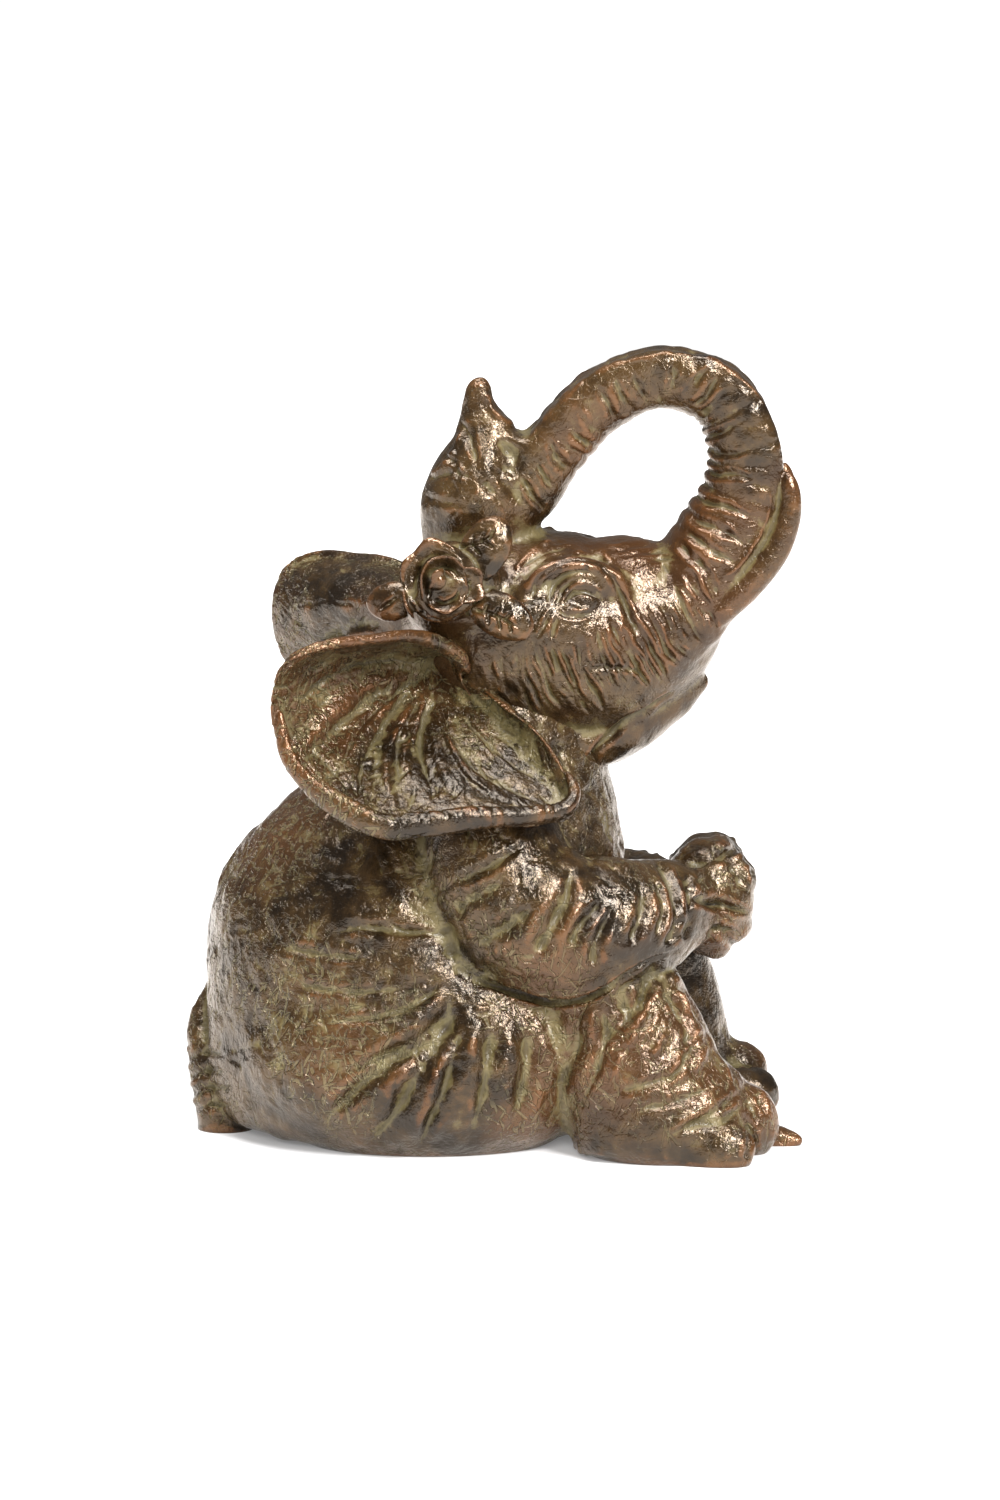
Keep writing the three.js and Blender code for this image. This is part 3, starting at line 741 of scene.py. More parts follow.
headStrokes = [
    (0.7, 1.9, (566, 600), (574, 594), (586, 593), (597, 598)),  # lids and brow
    (-0.6, 2.6, (561, 600), (570, 588), (583, 584), (596, 588), (603, 597)),
    (-0.4, 2.2, (566, 606), (579, 610), (594, 605)),
    (0.4, 2.2, (558, 611), (576, 616), (596, 611)),
    (0.5, 2.4, (546, 606), (554, 587), (568, 575), (584, 572), (599, 578)),
    (0.4, 2.4, (530, 606), (537, 582), (556, 565), (580, 559), (601, 566), (610, 580)),
    (0.35, 2.2, (513, 582), (523, 566), (552, 552), (579, 547)),
    (0.35, 1.8, (556, 605), (562, 592), (571, 583)),
    (0.7, 3.4, (596, 559), (614, 579), (629, 615), (645, 648)),
    (0.35, 2, (612, 572), (625, 602), (635, 622)),
    (0.35, 2, (546, 607), (536, 619), (526, 625)),
    (0.35, 2, (551, 614), (543, 629), (536, 640)),
    (0.35, 2, (559, 618), (554, 632), (552, 642)),
    (0.3, 1.8, (539, 599), (529, 605), (518, 607)),
    (0.4, 2.4, (619, 559), (645, 552), (672, 552)),
    (0.4, 2.4, (632, 569), (655, 559), (679, 559)),
    (0.4, 2.4, (609, 552), (632, 548), (659, 539)),
    (-0.6, 5, (516, 572), (526, 556), (546, 544), (559, 541)),
    (0.37, 2.6, (488, 655), (492, 675), (502, 692)),  # cheek folds
    (0.42, 2.1, (493, 655), (494, 668), (500, 681), (506, 690)),
    (0.43, 2.1, (496, 654), (501, 672), (507, 686), (513, 698)),
    (0.43, 2.8, (501, 650), (505, 675), (516, 698), (530, 718)),
    (0.49, 2.1, (509, 661), (513, 683), (522, 701), (535, 718)),
    (0.4, 2.1, (513, 667), (518, 685), (527, 702), (537, 718)),
    (0.43, 2.8, (516, 652), (521, 682), (533, 708), (549, 729)),
    (0.5, 2.1, (523, 649), (526, 674), (536, 695), (549, 715)),
    (0.34, 2.1, (526, 646), (535, 670), (546, 694), (561, 717)),
    (0.56, 2.9, (531, 638), (539, 658), (546, 678), (559, 702), (579, 725)),
    (0.48, 2.1, (539, 643), (547, 665), (557, 688), (570, 709)),
    (0.47, 2.1, (553, 659), (559, 682), (571, 699), (585, 716)),
    (0.59, 2.9, (552, 648), (561, 672), (576, 698), (592, 718)),
    (0.46, 2.1, (562, 649), (568, 670), (576, 685), (586, 703)),
    (0.35, 2.1, (570, 650), (576, 667), (582, 685), (593, 704)),
    (0.62, 3.1, (579, 640), (584, 675), (596, 698), (606, 715)),
    (0.36, 2.1, (584, 638), (587, 659), (596, 679), (607, 699)),
    (0.36, 2.1, (591, 638), (596, 655), (599, 668), (605, 683)),
    (0.62, 3.1, (596, 629), (601, 652), (609, 675), (617, 692)),
    (0.46, 2.1, (601, 627), (610, 650), (618, 670), (628, 690)),
    (0.44, 2.1, (609, 632), (618, 651), (626, 666), (635, 683)),
    (0.62, 3.1, (612, 619), (619, 639), (629, 659), (642, 678), (650, 690)),
    (0.44, 2.1, (624, 630), (631, 648), (643, 662), (653, 680)),
    (0.49, 2.1, (625, 618), (637, 638), (649, 661), (662, 683)),
    (0.62, 3.1, (632, 615), (645, 639), (659, 659), (669, 681)),
    (0.48, 2.1, (641, 611), (649, 627), (658, 645), (668, 659)),
    (0.56, 2.9, (645, 605), (659, 632), (672, 655), (684, 668)),
    (0.41, 2.1, (654, 607), (664, 625), (673, 642), (683, 660)),
    (0.56, 2.9, (662, 602), (672, 629), (685, 652), (694, 660)),
    (0.42, 2.1, (671, 608), (678, 624), (683, 639), (694, 650)),
    (0.41, 2.1, (675, 597), (682, 617), (688, 632), (700, 650)),
    (0.56, 2.9, (679, 589), (688, 615), (699, 639), (706, 648)),
    (0.35, 2.1, (685, 587), (693, 606), (699, 626), (707, 644)),
    (0.42, 2.1, (689, 589), (696, 602), (704, 616), (706, 628)),
    (0.56, 2.9, (688, 572), (702, 599), (712, 622), (714, 639)),
    (0.44, 2.1, (694, 571), (702, 590), (711, 606), (718, 623)),
    (0.35, 2.1, (700, 568), (706, 580), (713, 594), (718, 606)),
    (0.5, 2.8, (698, 556), (712, 582), (725, 605)),
    (0.5, 2.4, (566, 655), (572, 680), (586, 708)),
    (0.5, 2.4, (592, 668), (622, 668), (648, 676)),
    (0.4, 2.2, (625, 640), (634, 662), (646, 684)),
    (0.42, 3, (587, 451), (579, 440), (569, 431)),  # creases on the trunk's inner side
    (0.42, 3, (597, 436), (587, 420), (579, 411)),
    (0.48, 3, (614, 417), (604, 396), (597, 388)),
    (0.54, 3, (627, 410), (619, 390), (614, 378)),
    (0.48, 3, (644, 403), (637, 383), (635, 375)),
    (0.72, 3.4, (668, 395), (671, 380), (674, 365)),
    (0.6, 3.2, (683, 400), (695, 383), (708, 370)),
    (0.6, 3.2, (693, 409), (707, 393), (718, 379)),
    (0.48, 3.2, (701, 418), (715, 403), (732, 390)),
    (0.42, 3, (707, 436), (725, 428), (748, 420)),
    (0.42, 3, (709, 454), (732, 451), (755, 448)),
    (0.48, 3.2, (708, 473), (732, 473), (755, 476)),
    (0.6, 3.4, (702, 499), (728, 506), (755, 519)),
    (0.72, 3.6, (693, 516), (722, 529), (748, 546)),
    (0.72, 3.6, (690, 531), (712, 549), (735, 562)),
    (0.6, 3.4, (679, 542), (698, 562), (718, 579)),
    (0.5, 3.4, (566, 470), (556, 452), (548, 436)),
    (0.4, 3.2, (556, 490), (543, 474), (534, 458)),
    (0.5, 3, (545, 510), (530, 492), (520, 478)),
    (-0.4, 2.6, (559, 403), (586, 380), (612, 369), (645, 359), (679, 356), (712, 362), (738, 378),
     (761, 400), (778, 430), (785, 459)),  # the edge of its hollow band
    (-0.5, 2.8, (775, 483), (771, 512), (758, 542), (738, 566), (718, 582)),
    (0.6, 3.2, (783, 496), (773, 532), (751, 566), (727, 590)),
    (-0.6, 3, (488, 390), (494, 410), (509, 422), (525, 430)),  # trunk tip and its lip
    (0.7, 9, (502, 437), (508, 452), (503, 470), (492, 486)),
    (0.9, 6, (484, 483), (491, 491), (499, 496)),
    (0.5, 3.4, (458, 423), (473, 446), (480, 469)),
    (0.5, 3, (430, 476), (453, 473), (473, 479)),
    (0.3, 4, (424, 497), (446, 503), (468, 506)),
    (0.4, 2.6, (443, 453), (456, 466), (460, 489)),
    (-0.4, 3, (433, 473), (456, 449), (463, 423)),
    (1.1, 3.4, (576, 776), (600, 748), (625, 724), (655, 704), (678, 690)),  # mouth
]
earStrokes = [
    (0.5, 2.6, (417, 680), (380, 706), (352, 740), (340, 780)),
    (0.5, 2.4, (405, 695), (382, 730), (362, 770), (360, 805)),
    (0.5, 2.4, (420, 700), (398, 742), (400, 790)),
    (0.5, 2.4, (428, 700), (420, 750), (436, 800)),
    (0.6, 2.6, (440, 700), (450, 730), (470, 762), (505, 786), (545, 806)),
    (0.4, 2.2, (455, 705), (480, 735), (515, 765), (556, 790)),
    (0.4, 2.2, (400, 650), (352, 655), (308, 672), (286, 690)),
    (0.4, 2.2, (395, 660), (350, 668), (312, 690), (295, 715)),
    (0.4, 2.2, (300, 740), (325, 762), (350, 792)),
    (0.4, 2.2, (288, 730), (300, 758), (330, 790)),
]
roseStrokes = [
    (-1.49, 2, (405, 587), (408, 569), (420, 553), (440, 545), (457, 552)),  # raised petal edges
    (-1.49, 2, (460, 568), (473, 572), (479, 585), (473, 599), (459, 603)),
    (-1.35, 2, (403, 592), (407, 609), (419, 622), (430, 629)),
    (-1.35, 2, (423, 626), (440, 632), (460, 626), (472, 615)),
    (-1.49, 1.9, (423, 598), (424, 576), (435, 561), (451, 561), (462, 570), (466, 582)),
    (-1.22, 1.7, (430, 591), (433, 578), (446, 573), (456, 580)),
    (-1.08, 1.8, (428, 603), (443, 611), (458, 605), (466, 594)),
    (-0.94, 1.6, (411, 601), (420, 612), (433, 618)),
    (1.49, 2.3, (414, 594), (416, 572), (427, 556), (443, 552), (460, 560)),
    (1.49, 2.2, (429, 597), (430, 580), (440, 567), (452, 568), (460, 578)),
    (1.35, 2, (434, 600), (443, 604), (455, 599), (460, 588)),
    (1.22, 2.2, (415, 607), (430, 620), (446, 624), (463, 614)),
    (0.94, 2, (470, 580), (472, 590), (466, 600)),
    (0.81, 1.9, (458, 547), (476, 543), (498, 534)),  # leaf ribs
    (0.81, 1.9, (475, 610), (496, 616), (521, 629)),
    (0.81, 1.9, (397, 597), (387, 605), (377, 612)),
    (0.68, 1.6, (470, 545), (474, 533)),
    (0.68, 1.6, (480, 543), (485, 531)),
    (0.68, 1.6, (489, 538), (495, 528)),
    (0.68, 1.6, (472, 546), (482, 556)),
    (0.68, 1.6, (484, 542), (495, 548)),
    (0.68, 1.6, (484, 612), (488, 602)),
    (0.68, 1.6, (494, 615), (500, 605)),
    (0.68, 1.6, (505, 620), (512, 612)),
    (0.68, 1.6, (487, 614), (489, 626)),
    (0.68, 1.6, (498, 618), (501, 632)),
    (0.68, 1.6, (509, 623), (512, 635)),
]


def closeHoles(shape):
    openEdges = [edge for edge in shape.edges if edge.is_boundary]
    return bmesh.ops.holes_fill(shape, edges=openEdges, sides=0)["faces"]


def flatBase(thing):
    shape = bmesh.new()
    shape.from_mesh(thing.data)
    everything = shape.verts[:] + shape.edges[:] + shape.faces[:]
    down = (0, 0, -1)
    bmesh.ops.bisect_plane(shape, geom=everything, plane_co=(0, 0, 0), plane_no=down, clear_outer=True)
    bmesh.ops.triangulate(shape, faces=closeHoles(shape))
    putBack(shape, thing.data)


# Where the skin shows in the photograph and how far it faces it, with the far side turned to the near one.
def seenFrom(spots, normals, lean):
    mirrored = asRight(spots)
    flip = np.where(spots[:, 1] > 0, -1, 1)
    near = lifted(leant(mirrored)) if lean else mirrored
    tilt = math.radians(lens["tilt"])
    facing = -normals[:, 1] * flip * math.cos(tilt) + normals[:, 2] * math.sin(tilt)
    return inPhoto(near), facing


bodySkin = {
    "farStray": 5, "farSize": 14, "farShifts": (0, 50),  # the far side's strokes stray by some pixels
    "lip": 0.25, "sharp": 1.7, "facing": (0.02, 0.3),
    "marked": 0.12, "markedBack": 0.9, "markedTop": 0.35,  # how thick the tool marks lie
    "backEnd": (8, -6), "backLow": (6, 16), "backHigh": (62, 54), "top": (20, 34), "foot": (1.5, 5),
    "scratches": {
        "seed": 5, "count": 1300, "length": (2.0, 6.0), "width": (0.26, 0.38), "depth": (0.1, 0.22),
        "ways": (80, 95, 110, 60, 20, -15), "stray": 12,
    },
    "lumps": ((0.35, 6, 0), (0.22, 3, 9), (0.13, 1.5, 0)), "underside": (0.1, 1.6),
    "unworked": 0.45, "unworkedFrom": (-4, 10),  # the material's fine marks thin out towards the front
}


def sculptBody():
    mesh = body.data
    putSpots(mesh, lifted(spotsOf(mesh)))
    flatBase(body)
    spots, normals = spotsOf(mesh), normalsOf(mesh)
    x, y, z = spots.T
    shown, facing = seenFrom(spots, normals, lean=False)
    farSide = np.where(y > 0, bodySkin["farStray"], 0)[:, None]
    shown = shown + farSide * strays(spots, bodySkin["farSize"], bodySkin["farShifts"])
    height = carve(shown, bodyStrokes, bodySkin["lip"], bodySkin["sharp"])
    height *= smoothStep(*bodySkin["facing"], facing)
    back = smoothStep(*bodySkin["backEnd"], x) * smoothStep(*bodySkin["backLow"], z)
    back = back * smoothStep(*bodySkin["backHigh"], z)
    top = smoothStep(*bodySkin["top"], z)
    skin = bodySkin["marked"] + bodySkin["markedBack"] * back + bodySkin["markedTop"] * top
    skin = skin * smoothStep(*bodySkin["foot"], z)
    height += scratch(spots, normals, bodySkin["scratches"], skin)
    height += lumpy(spots, bodySkin["lumps"])
    height *= smoothStep(*bodySkin["underside"], z)
    putSpots(mesh, spots + normals * height[:, None])


trunkRing = {
    "from": 0.02, "to": 0.985, "steps": 400,  # the stretch of the trunk that may have rings
    "pitch": 2.7, "stray": 1.6, "wobble": ((0.5, 4, 0), (0.35, 9, 20)), "sharp": 4, "level": 0.7,
    "begins": (8, 18), "ends": (2, 10), "reach": (14, 11), "outside": 0.28, "inside": 0.3,
    "patches": ((0.9, 6, 31),), "patchy": 0.55,
}


# For each point: how far along the trunk it is, the trunk's length, how far off its middle, how far inside.
def trunkPlaces(spots):
    line = lineThrough(trunk["spine"])
    share = np.linspace(trunkRing["from"], trunkRing["to"], trunkRing["steps"])
    middle = line(evenly(line, share))
    tree = nearTree(middle)
    found = [tree.find(spot)[1:] for spot in spots]
    index = np.array([f[0] for f in found])
    away = np.array([f[1] for f in found])
    length = np.sum(np.linalg.norm(np.diff(middle, axis=0), axis=1))
    offset = spots - middle[index]
    ahead = np.gradient(middle, axis=0)[index]
    ahead /= np.linalg.norm(ahead, axis=1)[:, None]
    inner = np.sum(np.cross(ahead, [0, 1, 0]) * offset, axis=1) / np.maximum(away, tiny)
    return share[index] * length, length, away, inner


def ringHeight(spots):
    along, length, away, inner = trunkPlaces(spots)
    phase = (along + trunkRing["stray"] * lumpy(spots, trunkRing["wobble"])) / trunkRing["pitch"]
    ring = 1 - np.abs(np.cos(np.pi * phase)) ** trunkRing["sharp"] - trunkRing["level"]
    last, first = trunkRing["ends"]
    onTrunk = smoothStep(*trunkRing["begins"], along) * smoothStep(length - last, length - first, along)
    onTrunk = onTrunk * smoothStep(*trunkRing["reach"], away)
    patchy = np.clip(trunkRing["patchy"] + lumpy(spots, trunkRing["patches"]), 0.1, 1)
    return onTrunk * patchy * ring * (trunkRing["outside"] + trunkRing["inside"] * np.clip(inner, -0.3, 1))


headSkin = {
    "strays": ((2.2, 2.6, (0, 50)), (3.2, 6, (70, 90))),  # the strokes stray: pixels, size in mm, shifts
    "lip": 0.4, "facing": (0.02, 0.3), "uneven": ((0.5, 4.5, 40),), "unevenRange": (0.6, 1.4),
    "tuskFrom": 0.2, "tuskSteps": 40, "tuskClear": (2.9, 3.6), "tuskKeeps": 0.25,  # the tusks stay smooth
    "marked": 0.2, "markedBack": (10, -8),
    "scratches": {
        "seed": 8, "count": 260, "length": (1.6, 4.0), "width": (0.24, 0.34), "depth": (0.08, 0.16),
        "ways": (70, 100, 130, 10), "stray": 16,
    },
    "lumps": ((0.2, 4, 0), (0.1, 2, 9)), "worked": 0.15,
}


def sculptHead():
    mesh = head.data
    spots, normals = spotsOf(mesh), normalsOf(mesh)
    shown, facing = seenFrom(spots, normals, lean=True)
    for pixels, size, shifts in headSkin["strays"]:
        shown = shown + pixels * strays(spots, size, shifts)
    height = carve(shown, headStrokes, lip=headSkin["lip"]) * smoothStep(*headSkin["facing"], facing)
    height *= np.clip(1 + lumpy(spots, headSkin["uneven"]), *headSkin["unevenRange"])
    height += ringHeight(spots)
    tuskLine = lineThrough(tusk["spine"])(np.linspace(headSkin["tuskFrom"], 1, headSkin["tuskSteps"]))
    gap = np.min(np.linalg.norm(asRight(spots)[:, None, :] - tuskLine[None], axis=2), axis=1)
    clear = smoothStep(*headSkin["tuskClear"], gap)
    height *= clear
    skin = headSkin["marked"] + smoothStep(*headSkin["markedBack"], spots[:, 0])
    height += scratch(spots, normals, headSkin["scratches"], skin)
    height += lumpy(spots, headSkin["lumps"])
    height *= headSkin["tuskKeeps"] + (1 - headSkin["tuskKeeps"]) * clear
    putSpots(mesh, lifted(leant(spots + normals * height[:, None])))


earSkin = {
    "facing": (0.05, 0.4), "edgeWidth": 13, "edgeMarked": 0.02,
    "scratches": {
        "seed": 3, "count": 1000, "length": (2.0, 6.0), "width": (0.2, 0.3), "depth": (0.08, 0.17),
        "ways": (90, 80, 100, 60, 120), "stray": 10,
    },
    "lumps": ((0.16, 4, 0), (0.09, 2, 9)), "worked": 1,
}


def sculptEars():
    mesh = ears.data
    spots, normals = spotsOf(mesh), normalsOf(mesh)
    onLeft = spots[:, 1] > 0
    shift = np.where(onLeft, 1, 0)[:, None] * np.array(ear["leftShift"])
    outward = asRight(spots - shift) - ear["root"]
    outward[:, 1] *= np.where(onLeft, -1, 1)
    shown, facing = seenFrom(spots - shift, normals, lean=True)
    height = carve(shown, earStrokes) * smoothStep(*earSkin["facing"], facing)
    width = earSkin["edgeWidth"]
    edges = [strokeHeight(shown, 1, width, points, lip=0, sharp=2) for points in ear["smooth"]]
    skin = np.clip(1 + sum(edges), earSkin["edgeMarked"], 1)
    height += scratch(spots, normals, earSkin["scratches"], skin, outward)
    height += lumpy(spots, earSkin["lumps"])
    putSpots(mesh, lifted(leant(spots + normals * height[:, None])))


roseSkin = {"facing": (0.05, 0.4), "lumps": ((0.15, 1.8, 0), (0.07, 0.8, 0)), "worked": 0}


def sculptRose():
    mesh = flower.data
    spots, normals = spotsOf(mesh), normalsOf(mesh)
    shown, facing = seenFrom(spots, normals, lean=True)
    height = carve(shown, roseStrokes) * smoothStep(*roseSkin["facing"], facing)
    height += lumpy(spots, roseSkin["lumps"])
    putSpots(mesh, lifted(leant(spots + normals * height[:, None])))


sculptBody()
shapeNote("body sculpted", body)
sculptHead()
shapeNote("head sculpted", head)
sculptEars()
shapeNote("ears sculpted", ears)
sculptRose()
shapeNote("rose sculpted", flower)


# Faces of the loose bits that the welding leaves.
def crumbs(shape, fewest):
    seen = set()
    found = []
    for first in shape.faces:
        island = [] if first in seen else [first]
        seen.add(first)
        for face in island:
            fresh = {other for edge in face.edges for other in edge.link_faces} - seen
            seen |= fresh
            island.extend(fresh)
        if len(island) < fewest:
            found.extend(island)
    return found


def thin(thing, most, fewest=400):
    fewer = thing.modifiers.new("fewer", "DECIMATE")
    fewer.ratio = most / sum(len(face.vertices) - 2 for face in thing.data.polygons)
    settle(thing)
    thing.data.validate()
    shape = bmesh.new()
    shape.from_mesh(thing.data)
    bmesh.ops.delete(shape, geom=crumbs(shape, fewest), context="FACES")
    closeHoles(shape)
    putBack(shape, thing.data)


# How far each point lies under the smoothed skin: above zero in hollows, below zero on edges.
def hollows(mesh, pitch, radius):
    passes = round(radius ** 2 / (0.3 * pitch ** 2))
    pull = 0.6
    spots, normals = spotsOf(mesh), normalsOf(mesh)
    ends = np.empty(len(mesh.edges) * 2, dtype=np.int64)
    mesh.edges.foreach_get("vertices", ends)
    a, b = ends.reshape(-1, 2).T
    count = len(spots)
    links = np.maximum(np.bincount(a, minlength=count) + np.bincount(b, minlength=count), 1)
    soft = spots.copy()
    for turn in range(passes):
        for axis in range(3):
            column = soft[:, axis]
            total = np.bincount(a, column[b], count) + np.bincount(b, column[a], count)
            soft[:, axis] = (1 - pull) * column + pull * total / links
    return np.sum((soft - spots) * normals, axis=1)


def keepLevel(mesh, name, values):
    level = mesh.attributes.new(name, "FLOAT", "POINT")
    level.data.foreach_set("value", values)


patinaAndShadeLevels = (  # what the patina and the painted shade read: name, radius of the smoothing, offset and half range, in mm
    ("hollowFine", 0.6, 0, 0.16),
    ("hollowBroad", 1.9, 0.15, 0.8),
    # this row finds the deep creases under overhangs, which get painted shade
    ("undercutShade", 1.9, -1.0, 0.35),
)


def finishPiece(thing, clay, material, worked):
    mesh = thing.data
    keepLevel(mesh, "worked", np.ones(len(mesh.vertices)) * worked)
    depths = {radius: hollows(mesh, clay["weld"][0], radius) for radius in {row[1] for row in patinaAndShadeLevels}}
    for name, radius, offset, scale in patinaAndShadeLevels:
        keepLevel(mesh, name, np.clip(0.5 + (depths[radius] + offset) / (2 * scale), 0, 1))
    thin(thing, clay["most"])
    mesh = thing.data
    putSpots(mesh, spotsOf(mesh) * millimetre)
    mesh.polygons.foreach_set("use_smooth", np.ones(len(mesh.polygons), dtype=bool))
    mesh.materials.clear()
    mesh.materials.append(material)
    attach(thing, "root")
    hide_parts("bronze_elephant")
    shapeNote("finished", thing)


# Bronze: brown wax patina, olive in the hollows, coppery where it is rubbed, with painted shade darkening
# the grooves and deep creases.
bronze = {
    "dark": (0.009, 0.005, 0.002, 1), "brown": (0.056, 0.031, 0.011, 1), "russet": (0.078, 0.032, 0.011, 1),
    "olive": (0.090, 0.075, 0.029, 1), "pale": (0.22, 0.195, 0.10, 1), "copper": (0.17, 0.064, 0.020, 1),
    "noises": {  # scale, detail, roughness
        "clouds": (48, 4, 0.55), "blotches": (260, 6, 0.65), "specks": (1500, 3, 0.6),
        "tides": (27, 3, 0.5), "pits": (640, 2, 0.5),
    },
    "levels": {"fine": "hollowFine", "broad": "hollowBroad", "worked": "worked", "undercutShade": "undercutShade"},
    "scoreTurns": (4, -17, 26, -48, 82), "scoreSize": (0.0006, 0.0015, 0.004), "scoreEdge": (0.62, 0.68),
    "patches": {  # how much of each pattern adds up to a patch, and the sums where it starts and is full
        "warm": ({"clouds": 0.7, "blotches": 0.9}, 0.64, 0.98),
        "brushed": ({"clouds": 0.7, "tides": 0.5}, 0.5, 0.72),
        "green": ({"fine": 0.3, "broad": 1.7, "blotches": 2.2, "clouds": 0.8}, 2.55, 3.4),
        # this patch is painted shade: it darkens the bottoms of the fine grooves
        "grooveShade": ({"fine": 1.2, "broad": 0.3, "blotches": 0.3}, 1.25, 1.65),
        "rubbed": ({"fine": -1.2, "broad": -0.5, "blotches": 1.6, "tides": 1.4}, 0.9, 1.5),
    },
    "layers": [  # the patch or pattern, where it starts and is full, how strong it gets, its colour
        ("tides", 0.48, 0.66, 0.7, "russet"), ("green", 0, 1, 0.7, "olive"), ("hatch", 0, 1, 0.3, "pale"),
        # the first two layers on the next line paint shade dark into the grooves and the deep creases
        ("grooveShade", 0, 1, 0.45, "dark"), ("undercutShade", 0, 1, 0.85, "dark"), ("rubbed", 0, 1, 0.28, "copper"),
    ],
    "roughRubbed": 0.13, "roughHollow": 0.42, "roughness": {"base": 1.0, "specks": 0.12, "grooveShade": 0.3},
    "metalRubbed": 0.45, "metalHollow": 0.1, "unworkedMarks": 0.72, "markDepth": 0.00045,
    "marks": {"hatch": -0.7, "blotches": 0.8, "pits": 0.45, "specks": 0.3},
    "shader": {
        "Coat Weight": 0.3, "Coat Roughness": 0.1, "Specular IOR Level": 0.6,
        "Specular Tint": (1.0, 0.86, 0.70, 1),
    },
}


def addNode(tree, kind, **values):
    made = tree.nodes.new(kind)
    for name, value in values.items():
        if hasattr(made, name):
            setattr(made, name, value)
        else:
            made.inputs[name].default_value = value
    return made


def setSockets(node, values):
    for name, value in values.items():
        node.inputs[name].default_value = value


def sums(tree, patterns, weights):
    total = None
    for name, weight in weights.items():
        step = addNode(tree, "ShaderNodeMath", operation="MULTIPLY_ADD")
        tree.links.new(patterns[name], step.inputs[0])
        step.inputs[1].default_value = weight
        if total is None:
            step.inputs[2].default_value = 0
        else:
            tree.links.new(total, step.inputs[2])
        total = step.outputs[0]
    return total


def ramp(tree, source, low, high, start=0.0, end=1.0):
    step = addNode(tree, "ShaderNodeMapRange", clamp=True, interpolation_type="SMOOTHSTEP")
    setSockets(step, {"From Min": low, "From Max": high, "To Min": start, "To Max": end})
    tree.links.new(source, step.inputs["Value"])
    return step.outputs["Result"]


def times(tree, first, second):
    step = addNode(tree, "ShaderNodeMath", operation="MULTIPLY")
    tree.links.new(first, step.inputs[0])
    tree.links.new(second, step.inputs[1])
    return step.outputs[0]


def mixed(tree, factor, first, second):
    step = addNode(tree, "ShaderNodeMix", data_type="RGBA")
    for socket, value in ((step.inputs[0], factor), (step.inputs[6], first), (step.inputs[7], second)):
        if isinstance(value, tuple):
            socket.default_value = value
        else:
            tree.links.new(value, socket)
    return step.outputs[2]


def makeBronze():
    material = bpy.data.materials.new("bronze")
    material.use_nodes = True
    tree = material.node_tree
    tree.nodes.clear()
    link = tree.links.new
    place = addNode(tree, "ShaderNodeTexCoord").outputs["Object"]

    def noise(vector, scale, detail, roughness):
        made = addNode(tree, "ShaderNodeTexNoise", Scale=scale, Detail=detail, Roughness=roughness)
        link(vector, made.inputs["Vector"])
        return made.outputs["Fac"]

    def scored(turn):  # thin tool marks, all running one way
        way = addNode(tree, "ShaderNodeMapping", vector_type="TEXTURE")
        setSockets(way, {"Rotation": (0.2, math.radians(turn), 0.3), "Scale": bronze["scoreSize"]})
        link(place, way.inputs["Vector"])
        return ramp(tree, noise(way.outputs["Vector"], 1.0, 1.0, 0.5), *bronze["scoreEdge"])

    patterns = {name: noise(place, *values) for name, values in bronze["noises"].items()}
    for name, attribute in bronze["levels"].items():
        patterns[name] = addNode(tree, "ShaderNodeAttribute", attribute_name=attribute).outputs["Fac"]
    for name, (weights, low, high) in bronze["patches"].items():
        patterns[name] = ramp(tree, sums(tree, patterns, weights), low, high)
    scores = {turn: scored(turn) for turn in bronze["scoreTurns"]}
    scoring = sums(tree, scores, {turn: 1.0 for turn in scores})
    patterns["hatch"] = times(tree, times(tree, scoring, patterns["worked"]), patterns["brushed"])

    colour = mixed(tree, patterns["warm"], bronze["dark"], bronze["brown"])
    for name, low, high, strength, tone in bronze["layers"]:
        colour = mixed(tree, ramp(tree, patterns[name], low, high, 0, strength), colour, bronze[tone])
    patterns["base"] = ramp(tree, patterns["green"], 0, 1, bronze["roughRubbed"], bronze["roughHollow"])
    rough = sums(tree, patterns, bronze["roughness"])
    metal = ramp(tree, patterns["green"], 0, 1, bronze["metalRubbed"], bronze["metalHollow"])
    fewer = ramp(tree, patterns["worked"], 0, 1, bronze["unworkedMarks"], 1)
    bump = addNode(tree, "ShaderNodeBump", Strength=1.0, Distance=bronze["markDepth"])
    link(times(tree, sums(tree, patterns, bronze["marks"]), fewer), bump.inputs["Height"])

    shader = addNode(tree, "ShaderNodeBsdfPrincipled")
    setSockets(shader, bronze["shader"])
    link(colour, shader.inputs["Base Color"])
    link(rough, shader.inputs["Roughness"])
    link(metal, shader.inputs["Metallic"])
    link(bump.outputs["Normal"], shader.inputs["Normal"])
    link(bump.outputs["Normal"], shader.inputs["Coat Normal"])
    out = addNode(tree, "ShaderNodeOutputMaterial")
    link(shader.outputs["BSDF"], out.inputs["Surface"])
    return material


bronzeSkin = makeBronze()
bodyFront = smoothStep(*bodySkin["unworkedFrom"], spotsOf(body.data)[:, 0])
finishPiece(body, bodyClay, bronzeSkin, 1 - bodySkin["unworked"] * bodyFront)
finishPiece(head, headClay, bronzeSkin, headSkin["worked"])
finishPiece(ears, earClay, bronzeSkin, earSkin["worked"])
finishPiece(flower, roseClay, bronzeSkin, roseSkin["worked"])


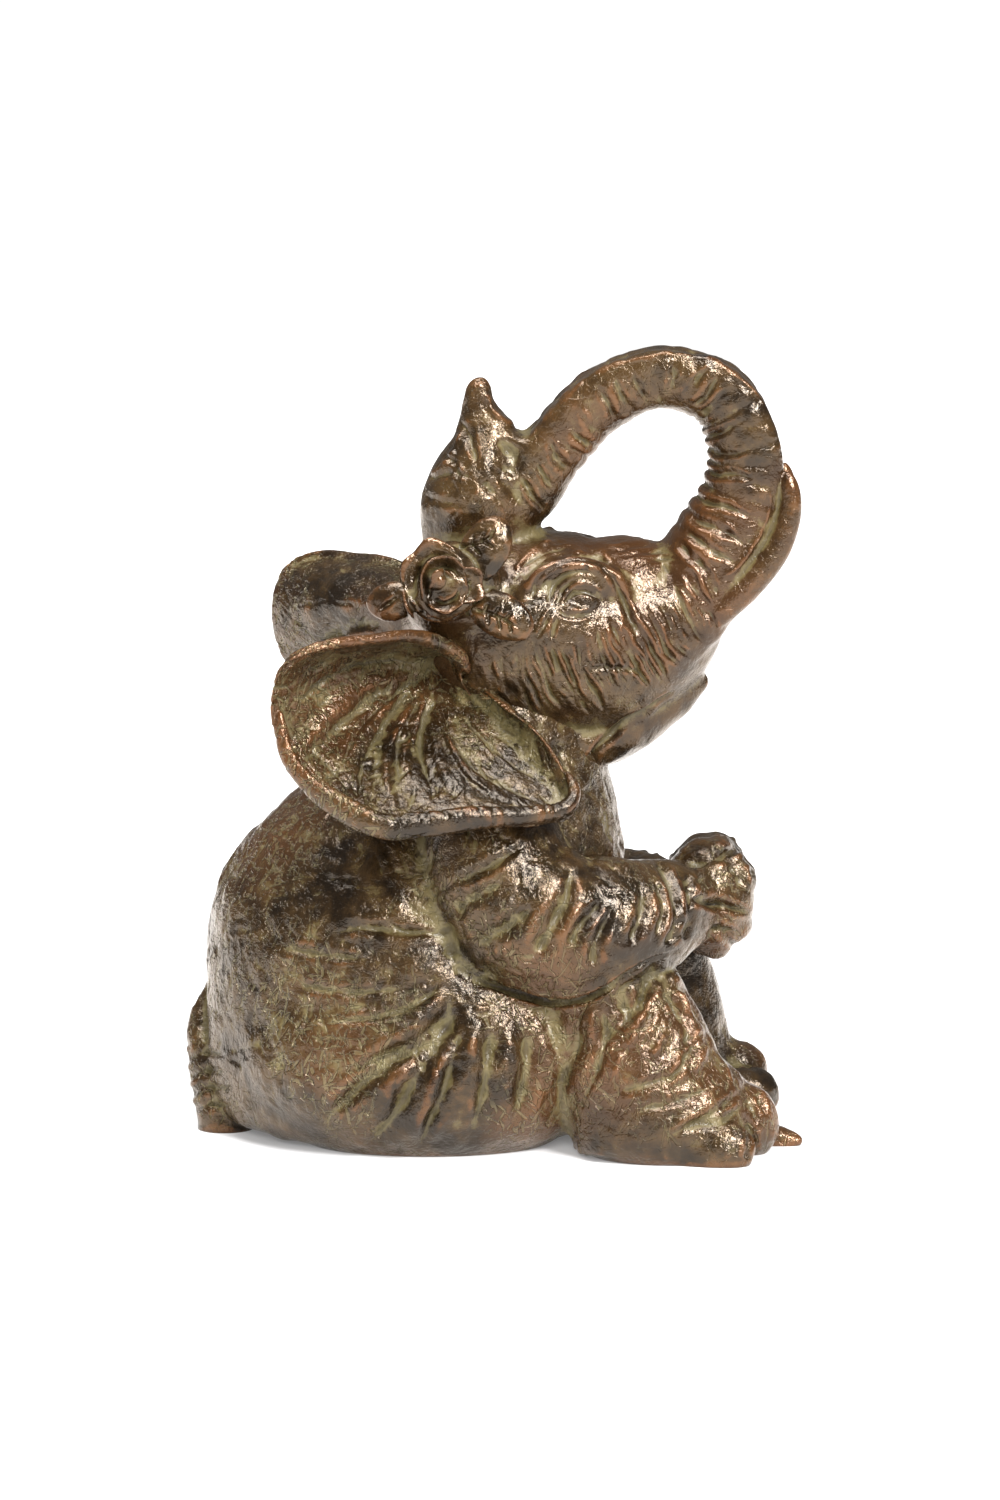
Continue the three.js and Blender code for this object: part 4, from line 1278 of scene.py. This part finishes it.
# Stage: a white floor, four soft suns and the camera.
studio = {
    "floorSize": 12.0, "surround": (1.0, 0.98, 0.97, 1), "surroundLight": 0.22, "surroundSeen": 1.06,
    "paper": {
        "Base Color": (0.62, 0.615, 0.615, 1), "Roughness": 0.6, "Specular IOR Level": 0.2,
        "Emission Color": (0.62, 0.615, 0.615, 1), "Emission Strength": 0.2,
    },
    "lamps": [  # name, side to side, near to far, height, spread in degrees, strength, seen in the gloss
        ("key", 0.5, -0.75, 0.7, 20, 6.6, True),
        ("top", -0.1, -0.15, 1.0, 32, 3.8, True),
        ("front", -0.15, -1.0, 0.35, 34, 4.2, False),
        ("back", -0.45, 0.9, 0.6, 50, 2.6, False),
    ],
}


def makeFloor():
    shape = bmesh.new()
    bmesh.ops.create_grid(shape, x_segments=1, y_segments=1, size=studio["floorSize"])
    mesh = bpy.data.meshes.new("floor")
    shape.to_mesh(mesh)
    shape.free()
    floor = bpy.data.objects.new("floor", mesh)
    bpy.context.scene.collection.objects.link(floor)
    paper = bpy.data.materials.new("paper")
    paper.use_nodes = True
    setSockets(paper.node_tree.nodes["Principled BSDF"], studio["paper"])
    mesh.materials.append(paper)


def makeLight():
    for name, x, y, z, spread, strength, glossy in studio["lamps"]:
        lamp = bpy.data.lights.new(name, "SUN")
        lamp.angle = math.radians(spread)
        lamp.energy = strength
        holder = bpy.data.objects.new(name, lamp)
        holder.location = (x, y, z)
        holder.visible_glossy = glossy
        holder.rotation_euler = Vector((-x, -y, -z)).to_track_quat("-Z", "Y").to_euler()
        bpy.context.scene.collection.objects.link(holder)
    world = bpy.data.worlds.new("studio")
    bpy.context.scene.world = world
    world.use_nodes = True
    tree = world.node_tree
    sky = tree.nodes["Background"]
    sky.inputs["Color"].default_value = studio["surround"]
    seen = addNode(tree, "ShaderNodeLightPath").outputs["Is Camera Ray"]
    strength = ramp(tree, seen, 0, 1, studio["surroundLight"], studio["surroundSeen"])
    tree.links.new(strength, sky.inputs["Strength"])


def makeCamera():
    view = bpy.data.cameras.new("photograph")
    view.lens = lens["length"]
    view.sensor_width = lens["film"]
    camera = bpy.data.objects.new("photograph", view)
    tilt = math.radians(lens["tilt"])
    height = lens["height"] + lens["reach"] * math.sin(tilt)
    camera.location = (0, -lens["reach"] * math.cos(tilt) * millimetre, height * millimetre)
    camera.rotation_euler = (math.pi / 2 - tilt, 0, 0)
    bpy.context.scene.collection.objects.link(camera)
    bpy.context.scene.camera = camera


makeFloor()
makeLight()
makeCamera()
bpy.context.scene.view_settings.view_transform = "Standard"
print("studio set")
